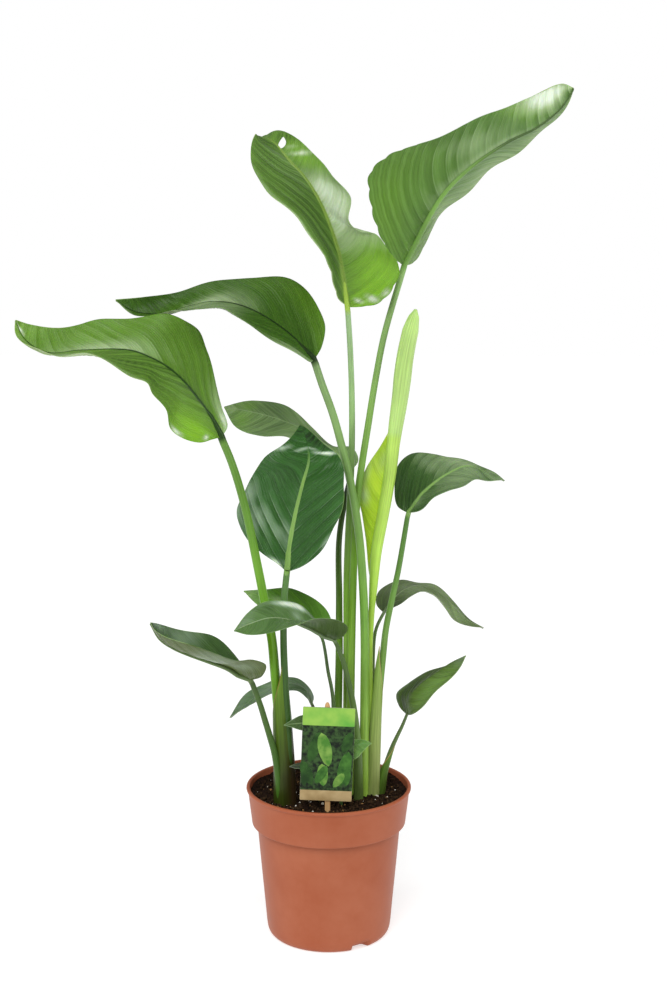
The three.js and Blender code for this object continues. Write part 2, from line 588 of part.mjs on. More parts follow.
const card = meshOf("label_card", cardGeometry(), 0x3f7a35, 0.5);
card.position.set(...CARD_CENTRE);
card.rotation.y = THREE.MathUtils.degToRad(-CARD_LEAN);
group.add(card);

const stick = meshOf("label_stick", stickGeometry(), 0xc79a5e, 0.8);
stick.position.set(STICK_X, stickY(), STICK_FOOT);
group.add(stick);

for (const [name, leaf] of Object.entries(LEAVES)) {
  group.add(meshOf(name, geometryOf(leafSolid(leaf)), leaf.color, 0.45));
}
group.add(meshOf(FURLED.name, geometryOf(furledSolid(FURLED)), FURLED.color, 0.5));

export default group;
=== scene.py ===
"""Looks of a young bird of paradise plant in a moulded nursery pot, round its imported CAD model.

Tables and sizes are in millimetres and become metres only where a mesh is made.
"""

import math

import bpy
import numpy as np
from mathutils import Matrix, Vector


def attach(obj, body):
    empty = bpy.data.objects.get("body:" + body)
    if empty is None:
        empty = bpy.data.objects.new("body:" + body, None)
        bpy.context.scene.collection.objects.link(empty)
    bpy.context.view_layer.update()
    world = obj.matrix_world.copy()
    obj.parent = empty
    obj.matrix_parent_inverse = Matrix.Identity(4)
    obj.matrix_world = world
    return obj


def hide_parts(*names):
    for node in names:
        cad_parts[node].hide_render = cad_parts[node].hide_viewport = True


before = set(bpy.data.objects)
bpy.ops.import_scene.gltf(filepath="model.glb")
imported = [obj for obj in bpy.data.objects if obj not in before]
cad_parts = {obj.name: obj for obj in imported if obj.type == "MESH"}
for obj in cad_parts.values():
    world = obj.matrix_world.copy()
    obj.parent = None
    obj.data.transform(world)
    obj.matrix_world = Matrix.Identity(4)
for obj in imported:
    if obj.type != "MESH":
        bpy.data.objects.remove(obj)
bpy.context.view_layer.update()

MM = 0.001
TURN = 2 * math.pi

# How finely the blades are meshed: rows along, columns across each half
CREASED = (300, 52)
LARGE = (170, 22)
MEDIUM = (110, 16)
SMALL = (60, 12)

# Each leaf: root in the soil, stalk up to the blade, then midrib, tip and the left and right margins, as
# seen from above the leaf. In mm: girth is the stalk's radius at the soil and at the blade, and wave is how
# many ripples the margins have and how high. bow hollows the two halves, in parts of their width. Some have
# a relief of their own: lean of the side veins on the left and right half, and in mm the folds, the creases
# along the raised veins and the groove. scallops of the margin: side, start, end, count, depth.
# tears: side, along, outward, reach along, reach outward, slant.
LEAVES = {
    "leaf_upper_right": dict(
        mesh=CREASED, girth=(5, 3.4), bow=(-0.06, -0.06), wave=(4, 2.5), root=(24, -9),
        lean=(0.4, 0.4), folds=0.3, creases=0.6, scallops=[(1, 0.02, 0.5, 9, 2.2), (-1, 0, 0.3, 4, 1.5)],
        stalk=[(25, -7, 279), (26, -6, 349), (28, -3, 430), (32, 2, 509), (45, 6, 599), (53, 7, 649),
            (62, 7, 695), (83, 5, 769)],
        midrib=[(100, 0, 809), (124, -5, 848), (154, -5, 877), (192, -5, 902), (225, 0, 918),
            (251, 10, 938)],
        tip=(267, 20, 960),
        left=[(97, 24, 773), (111, 44, 802), (134, 58, 831), (175, 62, 867), (214, 50, 897),
            (248, 34, 925), (261, 24, 945)],
        right=[(65, -20, 783), (52, -30, 809), (45, -34, 837), (43, -30, 868), (63, -24, 887),
            (92, -18, 897), (116, -14, 905), (165, -6, 929), (193, 0, 939), (217, 4, 949),
            (252, 12, 964)]),
    "leaf_top": dict(
        mesh=LARGE, girth=(5, 3), bow=(0.08, 0.05), wave=(5, 2), root=(20, 4),
        lean=(2.6, 0.2), folds=0.6, groove=0.5, scallops=[(1, 0, 0.3, 5, 1.4), (-1, 0, 0.25, 3, 1.5)],
        tears=[(1, 0.807, 0.3, 0.018, 0.32, 0.09)],
        stalk=[(21, 6, 275), (21, 7, 346), (21, 9, 427), (24, 11, 508), (26, 11, 564), (26, 9, 621),
            (24, 5, 677), (21, 0, 724)],
        midrib=[(16, -8, 760), (10, -12, 788), (1, -12, 815), (-11, -8, 842), (-26, 0, 865),
            (-42, 10, 882), (-59, 25, 902), (-74, 45, 909)],
        tip=(-83, 62, 900),
        left=[(9, -5, 736), (2, -20, 765), (-12, -35, 791), (-28, -42, 815), (-46, -40, 832),
            (-67, -30, 852), (-80, -15, 870), (-84, 10, 897), (-80, 35, 912)],
        right=[(53, -10, 728), (71, -25, 747), (77, -32, 768), (64, -36, 786), (51, -30, 804),
            (34, -24, 807), (21, -30, 819), (23, -36, 843), (4, -24, 867), (-13, -4, 886), (-33, 18, 905),
            (-58, 42, 917)]),
    "leaf_high_left": dict(
        mesh=LARGE, girth=(5.5, 4.2), bow=(0.05, 0.08), wave=(3, 3), root=(40.5, -8),
        lean=(1.2, 0.8), folds=0.5,
        stalk=[(41, -9, 280), (41, -11, 351), (39, -13, 409), (34, -14, 472), (24, -14, 534),
            (15, -12, 571), (5, -8, 607), (-8, 0, 642), (-16, 5, 666)],
        midrib=[(-32, 5, 685), (-49, 5, 700), (-83, 5, 721), (-108, 5, 729), (-134, 5, 730),
            (-159, 8, 724), (-187, 20, 716), (-216, 28, 718)],
        tip=(-239, 34, 731),
        left=[(-22, -15, 665), (-48, -48, 687), (-80, -64, 706), (-98, -66, 716), (-113, -62, 726),
            (-137, -45, 728), (-161, -20, 722), (-186, 6, 716), (-215, 18, 716)],
        right=[(-7, 22, 681), (-3, 35, 703), (-12, 42, 723), (-28, 45, 742), (-50, 45, 755),
            (-86, 42, 757), (-119, 38, 751), (-170, 30, 740), (-208, 28, 734)]),
    "leaf_far_left": dict(
        mesh=LARGE, girth=(6.4, 4.2), bow=(0.05, 0.06), wave=(4, 3), root=(-50, -25),
        lean=(1.7, 0.8), folds=0.6,
        stalk=[(-53, -29, 234), (-57, -33, 281), (-60, -37, 322), (-63, -42, 360), (-69, -47, 395),
            (-77, -51, 441), (-91, -54, 512), (-104, -52, 557), (-116, -50, 587)],
        midrib=[(-126, -55, 611), (-139, -58, 630), (-154, -60, 649), (-171, -60, 664), (-189, -60, 674),
            (-212, -60, 682), (-265, -60, 682), (-300, -55, 679), (-326, -45, 692)],
        tip=(-338, -35, 713),
        left=[(-125, -68, 587), (-137, -85, 586), (-152, -92, 592), (-165, -98, 603), (-170, -106, 622),
            (-183, -112, 639), (-187, -120, 655), (-204, -125, 663), (-251, -125, 683), (-285, -105, 682),
            (-315, -75, 686), (-336, -45, 701)],
        right=[(-110, -38, 598), (-116, -20, 618), (-127, -10, 647), (-133, -5, 677), (-141, -5, 700),
            (-158, -14, 710), (-181, -18, 717), (-241, -22, 712), (-273, -22, 706), (-302, -28, 705),
            (-325, -32, 708)]),
    "leaf_behind_left": dict(
        mesh=MEDIUM, girth=(5.5, 2.9), bow=(0.05, 0.05), wave=(2, 2), root=(8, -4),
        stalk=[(11, -3, 278), (12, 6, 334), (12, 20, 390), (12, 36, 457), (19, 45, 502), (27, 48, 536)],
        midrib=[(11, 52, 553), (-21, 55, 578), (-56, 52, 594), (-90, 45, 604)],
        tip=(-119, 38, 610),
        left=[(14, 38, 541), (-19, 30, 559), (-44, 22, 577), (-75, 18, 578), (-104, 25, 589)],
        right=[(34, 56, 546), (27, 66, 560), (6, 78, 561), (-20, 88, 579), (-52, 85, 607),
            (-85, 65, 615)]),
    "leaf_dark_front": dict(
        mesh=LARGE, girth=(4.6, 3.6), bow=(0.06, 0.06), wave=(3, 2), root=(-45.5, -36),
        lean=(0.75, 0.9), folds=0.2, creases=0.35, groove=0.4,
        stalk=[(-45, -40, 242), (-48, -43, 301), (-50, -43, 359), (-49, -43, 405), (-46, -42, 436)],
        midrib=[(-43, -46, 467), (-37, -48, 501), (-29, -46, 534), (-22, -38, 559), (-23, -20, 572),
            (-27, 2, 584)],
        tip=(-32, 20, 592),
        left=[(-56, -40, 445), (-74, -34, 456), (-89, -27, 467), (-98, -22, 483), (-101, -19, 501),
            (-95, -17, 518), (-87, -16, 537), (-71, -14, 558), (-53, -8, 571), (-41, 6, 582)],
        right=[(-31, -40, 441), (-18, -36, 448), (-6, -34, 460), (5, -32, 484), (14, -31, 500),
            (18, -31, 516), (17, -31, 532), (16, -28, 550), (10, -20, 563), (-4, -4, 574),
            (-21, 12, 586)]),
    "leaf_right": dict(
        mesh=MEDIUM, girth=(5.2, 2.9), bow=(0.06, 0.06), wave=(3, 2), root=(49, -1),
        lean=(0.9, 0.9), folds=0.5,
        stalk=[(53, -3, 227), (57, -1, 279), (62, 2, 330), (65, 3, 359), (71, 5, 390), (79, 9, 427),
            (90, 18, 491)],
        midrib=[(103, 12, 512), (118, 8, 527), (136, 5, 540), (156, 5, 548), (177, 8, 540)],
        tip=(199, 14, 529),
        left=[(79, 32, 497), (75, 40, 514), (77, 45, 538), (94, 45, 554), (118, 40, 557), (140, 32, 553),
            (164, 22, 547), (186, 16, 540)],
        right=[(100, 0, 497), (120, -25, 517), (133, -35, 528), (151, -32, 531), (163, -20, 535),
            (183, -2, 532)]),
    "leaf_lower_right": dict(
        mesh=MEDIUM, girth=(2.6, 1.9), bow=(0.05, 0.05), wave=(2, 2), root=(50, 8),
        stalk=[(52, 8, 275), (51, 12, 321), (54, 20, 354), (63, 30, 372)],
        midrib=[(73, 38, 385), (88, 44, 397), (107, 49, 400), (126, 53, 393), (144, 56, 376),
            (161, 56, 358)],
        tip=(182, 53, 348),
        left=[(56, 52, 377), (59, 70, 388), (72, 80, 397), (87, 84, 401), (106, 86, 395), (124, 84, 392),
            (148, 77, 374), (167, 66, 356)],
        right=[(72, 22, 379), (82, 16, 387), (92, 14, 396), (106, 15, 401), (120, 18, 394), (134, 24, 378),
            (147, 33, 363), (166, 44, 352)]),
    "leaf_mid_back": dict(
        mesh=MEDIUM, girth=(3, 1.8), bow=(0.05, 0.05), wave=(1, 1), root=(1, -17),
        stalk=[(5, -16, 282), (-1, -4, 314), (-4, 8, 332), (-7, 15, 346)],
        midrib=[(-19, 10, 366), (-36, 5, 382), (-57, 0, 393)],
        tip=(-96, -8, 407),
        left=[(-15, -4, 356), (-35, -10, 367), (-57, -15, 380), (-80, -12, 392)],
        right=[(3, 28, 358), (-1, 35, 372), (-12, 38, 384), (-27, 36, 394), (-45, 30, 402),
            (-74, 10, 404)]),
    "leaf_mid_front": dict(
        mesh=MEDIUM, girth=(6.4, 2.4), bow=(0.05, 0.05), wave=(2, 1), root=(34, -21),
        stalk=[(33, -24, 231), (28, -27, 278), (24, -28, 299), (16, -30, 333), (7, -32, 356)],
        midrib=[(-7, -45, 367), (-23, -58, 379), (-40, -72, 389), (-63, -90, 396), (-84, -104, 393)],
        tip=(-101, -112, 387),
        left=[(16, -52, 365), (21, -68, 380), (10, -80, 392), (-12, -95, 397), (-32, -110, 393),
            (-61, -125, 389), (-84, -122, 386)],
        right=[(-1, -20, 365), (-15, -25, 380), (-30, -42, 398), (-49, -58, 407), (-70, -78, 411),
            (-87, -96, 403)]),
    "leaf_low_left": dict(
        mesh=MEDIUM, girth=(4.7, 3.2), bow=(0.06, 0.06), wave=(2, 2), root=(-55, -38),
        stalk=[(-60, -43, 225), (-66, -46, 250), (-71, -47, 268), (-76, -48, 286), (-86, -50, 315)],
        midrib=[(-98, -52, 323), (-111, -55, 332), (-131, -58, 340), (-153, -60, 348), (-170, -60, 355),
            (-185, -60, 365)],
        tip=(-196, -58, 383),
        left=[(-73, -75, 326), (-68, -92, 345), (-82, -100, 354), (-97, -104, 354), (-116, -108, 359),
            (-141, -108, 367), (-166, -98, 374), (-188, -75, 379)],
        right=[(-94, -30, 323), (-102, -22, 334), (-117, -18, 348), (-131, -18, 356), (-153, -22, 363),
            (-175, -30, 371), (-189, -45, 378)]),
    "leaf_low_behind": dict(
        mesh=MEDIUM, girth=(3, 1.9), bow=(0.05, 0.05), wave=(1, 1), root=(-4, 2),
        stalk=[(-4, 3, 216), (-11, 4, 250), (-19, 6, 270)],
        midrib=[(-26, 11, 286), (-41, 17, 292), (-62, 20, 288), (-82, 20, 277), (-99, 18, 264)],
        tip=(-115, 15, 251),
        left=[(-25, -8, 281), (-35, -14, 291), (-48, -16, 292), (-67, -14, 288), (-85, -8, 277),
            (-101, 4, 264)],
        right=[(-18, 26, 274), (-24, 38, 282), (-37, 50, 289), (-55, 50, 290), (-76, 46, 283),
            (-97, 34, 274)]),
    "leaf_small_left": dict(
        mesh=SMALL, girth=(2.4, 1.5), bow=(0.05, 0.05), wave=(1, 0.5), root=(-6, -26),
        stalk=[(2, -26, 214), (4, -26, 238), (2, -30, 258)],
        midrib=[(-14, -38, 263), (-32, -46, 264)],
        tip=(-50, -53, 264),
        left=[(-7, -42, 254), (-29, -53, 258), (-41, -54, 262)],
        right=[(-8, -22, 265), (-29, -34, 270), (-41, -46, 268)]),
    "leaf_outer_right": dict(
        mesh=MEDIUM, girth=(4.8, 1.7), bow=(0.06, 0.06), wave=(2, 1), root=(58.5, 4),
        stalk=[(66, 4, 198), (72, 5, 216), (78, 6, 230), (84, 8, 242), (90, 10, 256)],
        midrib=[(92, 6, 278), (105, 4, 295), (123, 6, 308), (141, 10, 319)],
        tip=(158, 14, 326),
        left=[(82, 24, 263), (79, 32, 275), (92, 36, 287), (112, 34, 299), (132, 26, 309),
            (148, 18, 319)],
        right=[(96, -6, 262), (107, -18, 275), (120, -24, 292), (136, -18, 306), (151, 0, 317)]),
    "leaf_small_right": dict(
        mesh=SMALL, girth=(2.2, 1.4), bow=(0.05, 0.05), wave=(1, 0.5), root=(14, -40),
        stalk=[(14, -41, 208), (16, -46, 229)],
        midrib=[(26, -50, 238), (37, -52, 242)],
        tip=(48, -53, 243),
        left=[(21, -42, 241), (33, -44, 245), (42, -49, 245)],
        right=[(21, -53, 223), (31, -60, 228), (41, -58, 238)]),
    "leaf_tiny_left": dict(
        mesh=SMALL, girth=(2, 1.2), bow=(0.03, 0.03), wave=(1, 0.5), root=(-10, -33),
        stalk=[(-10, -33, 192), (-12, -36, 208)],
        midrib=[(-23, -42, 213), (-33, -46, 215)],
        tip=(-44, -50, 215),
        left=[(-21, -44, 207), (-30, -50, 212), (-38, -51, 213)],
        right=[(-21, -34, 213), (-30, -39, 216), (-38, -45, 216)]),
}

# The rolled young leaf: its radius, and its seam's angle in radians, by share of the way up, then the blade
# of the flap that has come loose from it
FURLED = dict(
    root=(41, 3.5),
    stalk=[(47, 1, 277), (47, 2, 347), (50, 4, 399), (54, 5, 449), (62, 6, 494), (69, 6, 538), (74, 6, 582),
        (80, 5, 625), (85, 4, 668), (90, 3, 695), (96, 0, 722)],
    radii=[(0, 3.4), (0.43, 3.6), (0.5, 5.6), (0.56, 6.6), (0.74, 7.2), (0.8, 8.6), (0.87, 9.8), (0.96, 8.8),
        (0.985, 6), (1, 1.5)],
    seam=[(0, 0.5), (0.55, 0.3), (0.85, -0.5), (1, -1.4)],
    base=(50, 4, 408), mesh=MEDIUM, bow=(0, 0.1), wave=(1, 0.5),
    midrib=[(54, 6, 440), (62, 7, 508), (71, 8, 559)],
    tip=(79, 8, 601),
    left=[(57, 3, 440), (65, 4, 509), (74, 5, 560)],
    right=[(46, 8, 422), (42, 11, 463), (38, 13, 490), (34, 14, 515), (42, 13, 543), (58, 11, 569),
        (70, 9, 590)])

# How many steps a smooth line has from one of its points to the next
LINE_SAMPLES = 24

BLADE_THICKNESS = 0.7
MARGIN_THICKNESS = 0.35

# A blade's rows start and end just short of its two ends, and lie closer together there
ROW_ENDS = (0.004, 0.994)
ROW_EASE = 0.45

# How far the right margin's ripples are out of step with the left's, in radians
RIPPLE_PHASE = 1.7

# Side veins run forward by this much for each mm outward, on the left and right half, and bend on near the
# margin
VEIN_LEAN = (0.7, 0.7)
VEIN_BEND = 0.5

# Soft folds along the side veins: spacings in mm with their phases, usual height, and the half blade's width
# from which they have all of it
FOLDS = ((13.5, 0), (8.3, 2.1))
FOLD_HEIGHT = 0.4
FOLD_WIDTH = 20

# The raised side veins are this far apart in mm, drawn together and apart by so much over a longer stretch
VEIN_PITCH = 12.4
VEIN_DRIFT, DRIFT_PITCH = 1.3, 41

# The groove over the midrib in mm
GROOVE_DEPTH = 0.8
GROOVE_REACH = 2.2

# Stalks start down in the soil and leave it upright
STALK_FOOT = 128
SOIL_TOP = 166
STALK_STRAIGHT = 6
STALK_STEP = 5
STALK_SIDES = 24
RIB_TIP_RADIUS = 0.8

# The roll's wrap stands this share of its radius proud at the seam
SEAM_STEP = 0.16
ROLL_STATIONS = 150
ROLL_SIDES = 40

SHEATH_ROWS = 60
SHEATH_SIDES = 48
SHEATH_THICKNESS = 0.7


def line_through(points):
    """A dense smooth line through points, and its length so far at each of its points."""
    p = np.array(points, float)
    p = np.vstack([2 * p[0] - p[1], p, 2 * p[-1] - p[-2]])
    w = np.linspace(0, 1, LINE_SAMPLES, endpoint=False)[:, None]
    parts = []
    for p0, p1, p2, p3 in zip(p, p[1:], p[2:], p[3:]):
        d0, d1, d2 = (np.linalg.norm(b - a) ** 0.5 for a, b in ((p0, p1), (p1, p2), (p2, p3)))
        t1 = ((p1 - p0) / d0 - (p2 - p0) / (d0 + d1) + (p2 - p1) / d1) * d1
        t2 = ((p2 - p1) / d1 - (p3 - p1) / (d1 + d2) + (p3 - p2) / d2) * d1
        parts.append(p1 + t1 * w + (3 * (p2 - p1) - 2 * t1 - t2) * w**2 + (2 * (p1 - p2) + t1 + t2) * w**3)
    dense = np.vstack([*parts, p[-2]])
    return dense, length_so_far(dense)


def length_so_far(points):
    return np.r_[0, np.cumsum(np.linalg.norm(np.diff(points, axis=0), axis=1))]


def at(line, parts):
    """Points at parts of a line's length, 0 to 1."""
    dense, lengths = line
    return np.stack([np.interp(parts * lengths[-1], lengths, dense[:, k]) for k in range(3)], -1)


def unit(vectors):
    return vectors / np.maximum(np.linalg.norm(vectors, axis=-1, keepdims=True), 1e-9)


def turned_points(points, degrees, x=0, z=0):
    """Flat points turned about 0, 0 and then moved."""
    c, s = math.cos(math.radians(degrees)), math.sin(math.radians(degrees))
    return [(x + c * a - s * b, z + s * a + c * b) for a, b in points]


def new_object(name, data):
    obj = bpy.data.objects.new(name, data)
    bpy.context.scene.collection.objects.link(obj)
    return obj


def piece(name, points, faces, materials, which=None, layers=None, replaces=None, slot=None, smooth=True):
    """A mesh piece on the plant's one body, from points in mm. layers: UV values for each point."""
    mesh = bpy.data.meshes.new(name)
    mesh.from_pydata((np.asarray(points, float) * MM).tolist(), [], [list(map(int, f)) for f in faces])
    for material in materials:
        mesh.materials.append(material)
    if which is not None:
        mesh.polygons.foreach_set("material_index", np.asarray(which, np.int32))
    mesh.polygons.foreach_set("use_smooth", np.full(len(mesh.polygons), smooth))
    corners = np.zeros(len(mesh.loops), np.int32)
    mesh.loops.foreach_get("vertex_index", corners)
    for layer, values in (layers or {}).items():
        uv = mesh.uv_layers.new(name=layer)
        uv.data.foreach_set("uv", np.asarray(values, np.float32)[corners].ravel())
    mesh.update()
    obj = new_object(name, mesh)
    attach(obj, "root")
    if replaces:
        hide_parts(replaces)
    return obj


def grid_faces(rows, columns, wrap=False):
    """Faces of a grid of points, row by row. wrap joins the last column to the first."""
    i, j = np.meshgrid(np.arange(rows - 1), np.arange(columns if wrap else columns - 1), indexing="ij")
    a = i * columns + j
    b = i * columns + (j + 1) % columns
    return np.stack([a, b, b + columns, a + columns], -1).reshape(-1, 4)


def tube_faces(rows, columns):
    """Faces of a tube of rings whose ends close on the two points that follow them."""
    foot = rows * columns
    last = foot - columns
    faces = [list(f) for f in grid_faces(rows, columns, wrap=True)]
    for j in range(columns):
        k = (j + 1) % columns
        faces.append([foot, k, j])
        faces.append([foot + 1, last + j, last + k])
    return faces


def closed_sheet(surface, normals, half_thickness, torn):
    """A grid surface doubled to its thickness, without its torn squares. Points, faces, 0, 1 or 2 for upper
    face, underside or edge, and which of the doubled grid's points are kept."""
    rows, columns = surface.shape[:2]
    count = rows * columns
    offset = normals * half_thickness[..., None]
    points = np.vstack([(surface + offset).reshape(-1, 3), (surface - offset).reshape(-1, 3)])
    upper = grid_faces(rows, columns)[~torn.ravel()]
    sides = np.stack([upper, np.roll(upper, -1, 1)], -1).reshape(-1, 2)
    known = set(map(tuple, sides))
    rim = np.array([(a, b) for a, b in sides if (b, a) not in known])
    edge = np.stack([rim[:, 1], rim[:, 0], rim[:, 0] + count, rim[:, 1] + count], -1)
    which = np.repeat([0, 1, 2], [len(upper), len(upper), len(edge)])
    faces = np.vstack([upper, upper[:, ::-1] + count, edge])
    kept, places = np.unique(faces, return_inverse=True)
    return points[kept], places.reshape(faces.shape), which, kept


def eased(t):
    return (1 - ROW_EASE) * t + ROW_EASE * (1 - np.cos(math.pi * t)) / 2


def scalloped(leaf, side, along):
    """How far a leaf's margin draws in between its scallops, in mm along one side."""
    drawn = np.zeros(len(along))
    for where, start, end, count, depth in leaf.get("scallops", ()):
        if where == side:
            run = np.clip((along - start) / (end - start), 0, 1)
            drawn += depth * (1 - np.abs(np.sin(math.pi * count * run))) * np.sin(math.pi * run) ** 0.3
    return drawn


def blade_relief(leaf, vein, along, part, width, reach):
    """How far the folds and creases lift the upper face, and the groove over the midrib sinks it."""
    fold = sum(np.sin(TURN * vein / pitch + phase) for pitch, phase in FOLDS)
    fold = leaf.get("folds", FOLD_HEIGHT) * fold * 4 * part * (1 - part) * np.minimum(1, width / FOLD_WIDTH)
    crease = 2 * np.abs(np.sin(math.pi * vein / VEIN_PITCH)) - 1
    crease = leaf.get("creases", 0) * crease * np.minimum(1, 8 * part) * np.minimum(1, 5 * (1 - part))
    groove = leaf.get("groove", GROOVE_DEPTH) * (1 - along) * np.exp(-((reach / GROOVE_REACH) ** 2))
    return fold + crease - groove


def blade_surface(leaf, base):
    """The blade's middle surface as a grid, with its upper normals and what its finish needs to know."""
    rows, columns = leaf["mesh"]
    along = eased(np.linspace(*ROW_ENDS, rows))
    midrib, left, right = (
        line_through([base, *leaf[key], leaf["tip"]]) for key in ("midrib", "left", "right"))
    centre = at(midrib, along)
    tangent = unit(np.gradient(centre, axis=0))
    length = midrib[1][-1]
    part = eased(np.linspace(0, 1, columns + 1))
    ripples, height = leaf["wave"]
    halves = []
    for half, (side, edge) in enumerate(((-1, at(left, along)), (1, at(right, along)))):
        out = edge - centre
        out *= 1 - scalloped(leaf, side, along)[:, None] / np.linalg.norm(out, axis=1, keepdims=True)
        width = np.linalg.norm(out, axis=1)[:, None]
        normal = unit(-side * np.cross(tangent, out))
        fade = np.sqrt(np.sin(math.pi * along))[:, None] * part**2
        ripple = height * np.sin(TURN * ripples * along + half * RIPPLE_PHASE)[:, None] * fade
        bow = leaf["bow"][half] * width * 4 * part * (1 - part)
        forward = np.sum(out * tangent, 1)[:, None]
        reach = np.sqrt(np.maximum(width**2 - forward**2, 0)) * part
        lean = leaf.get("lean", VEIN_LEAN)[half]
        vein = along[:, None] * length + forward * part - reach * (lean + VEIN_BEND * part)
        vein = vein / math.hypot(1, lean + VEIN_BEND)
        vein = vein + VEIN_DRIFT * np.sin(TURN * vein / DRIFT_PITCH)
        lift = ripple - bow + blade_relief(leaf, vein, along[:, None], part, width, reach)
        points = centre[:, None] + out[:, None] * part[None, :, None] + normal[:, None] * lift[..., None]
        facts = np.stack([vein, np.broadcast_to(along[:, None], reach.shape), reach, width - reach], -1)
        halves.append((points, facts, np.broadcast_to(part, reach.shape)))
    surface, facts, part = (np.concatenate([a[:, ::-1], b[:, 1:]], 1) for a, b in zip(*halves))
    normals = unit(np.cross(np.gradient(surface, axis=1), np.gradient(surface, axis=0)))
    return surface, normals, facts, part


def soft_patches(patches, side, along, part):
    """Painted sheen, up to 2 for a painted white highlight and below 0 for painted shade, and fresh green
    over the blade from its soft patches.
    """
    # bloom sums the painted sheen and highlights, and below 0 the painted shade
    bloom, fresh = np.zeros(along.shape), np.zeros(along.shape)
    for where, centre, outward, long, wide, pale, green in patches:
        patch = np.exp(-(((along - centre) / long) ** 2) - ((part - outward) / wide) ** 2)
        patch = np.where((side == where) | (where == 0), patch, 0)
        bloom += pale * patch
        fresh += green * patch
    return np.clip(bloom, -1, 2), np.clip(fresh, 0, 1)


def tear_place(tear, along, part):
    """Where points lie in a tear: off its middle along the leaf, off it outward, and 1 on its outline."""
    _, centre, outward, long, wide, slant = tear
    across = part - outward
    offset = along - centre - slant * across
    return offset, across, np.maximum(np.hypot(offset / long, across / wide), 0.01)


def torn_squares(tears, side, along, part):
    """Which squares of the grid a blade's tears and holes take away."""
    middle = [(a[:-1, :-1] + a[1:, 1:]) / 2 for a in (along, part)]
    torn = np.zeros(middle[0].shape, bool)
    for tear in tears:
        torn |= (tear_place(tear, *middle)[2] < 1) & (side[:-1, :-1] == tear[0])
    return torn


def smoothed_tears(surface, tears, torn, along, part):
    """The surface with the brink of each tear moved onto the tear's outline."""
    gone = np.pad(torn, 1)
    near = np.stack([gone[:-1, :-1], gone[1:, :-1], gone[:-1, 1:], gone[1:, 1:]])
    brink = near.any(0) & ~near.all(0)
    steps = [np.gradient(values, axis=axis) for axis, values in ((0, along), (1, part))]
    slopes = [np.gradient(surface, axis=axis) / np.where(np.abs(step) > 1e-6, step, 1)[..., None]
        for axis, step in enumerate(steps)]
    moved = surface.copy()
    for tear in tears:
        slant = tear[-1]
        offset, across, distance = tear_place(tear, along, part)
        pull = np.where(brink & (distance < 2), 1 / distance - 1, 0)
        moved += slopes[0] * ((offset + slant * across) * pull)[..., None]
        moved += slopes[1] * (across * pull)[..., None]
    return moved


def blade_piece(name, leaf, base, materials, patches=(), **rest):
    surface, normals, facts, part = blade_surface(leaf, base)
    half = (BLADE_THICKNESS - (BLADE_THICKNESS - MARGIN_THICKNESS) * part**8) / 2
    along = facts[..., 1]
    side = np.broadcast_to(np.where(np.arange(part.shape[1]) < part.shape[1] // 2, -1, 1), part.shape)
    tears = leaf.get("tears", ())
    torn = torn_squares(tears, side, along, part)
    if tears:
        surface = smoothed_tears(surface, tears, torn, along, part)
    points, faces, which, kept = closed_sheet(surface, normals, half, torn)
    tint = np.stack(soft_patches(patches, side, along, part), -1).reshape(-1, 2)
    facts = facts.reshape(-1, 4)
    veins = np.stack([facts[:, 0] * MM, facts[:, 1]], -1)
    span = facts[:, 2:] * MM
    layers = {key: np.vstack([v, v])[kept] for key, v in (("veins", veins), ("span", span), ("tint", tint))}
    return piece(name, points, faces, materials, which, layers, **rest)


def stalk_points(leaf):
    x, y = leaf["root"]
    return [(x, y, STALK_FOOT), (x, y, SOIL_TOP + STALK_STRAIGHT), *leaf["stalk"]]


def frames_along(centre, up):
    """Tangents and up vectors along a line. up is given from some point on, and carried back from there."""
    tangent = unit(np.gradient(centre, axis=0))
    normals = up.copy()
    for i in range(len(centre) - 1, -1, -1):
        if np.isnan(normals[i, 0]):
            normals[i] = normals[i + 1]
        normals[i] = unit(normals[i] - (normals[i] @ tangent[i]) * tangent[i])
    return tangent, normals


def swept(centre, up, shape, sides, rise):
    """A closed tube along centre: points, faces and UV layers. shape gives the radius at each station and
    angle, 0 being up, and rise says how far up the leaf each station is."""
    tangent, normals = frames_along(centre, up)
    side = np.cross(tangent, normals)
    angle = np.linspace(-math.pi, math.pi, sides, endpoint=False)
    radius = shape(angle)
    ring = normals[:, None] * np.cos(angle)[None, :, None] + side[:, None] * np.sin(angle)[None, :, None]
    points = (centre[:, None] + ring * radius[..., None]).reshape(-1, 3)
    points = np.vstack([points, centre[0], centre[-1]])
    lengths = length_so_far(centre) * MM
    grain = np.stack(np.broadcast_arrays((angle / TURN)[None, :], lengths[:, None]), -1)
    grain = np.vstack([grain.reshape(-1, 2), [0, 0], [0, lengths[-1]]])
    rise = np.r_[np.repeat(rise, sides), 0, rise[-1]]
    layers = {"grain": grain, "rise": np.stack([rise, np.zeros(len(rise))], -1)}
    return points, tube_faces(len(centre), sides), layers


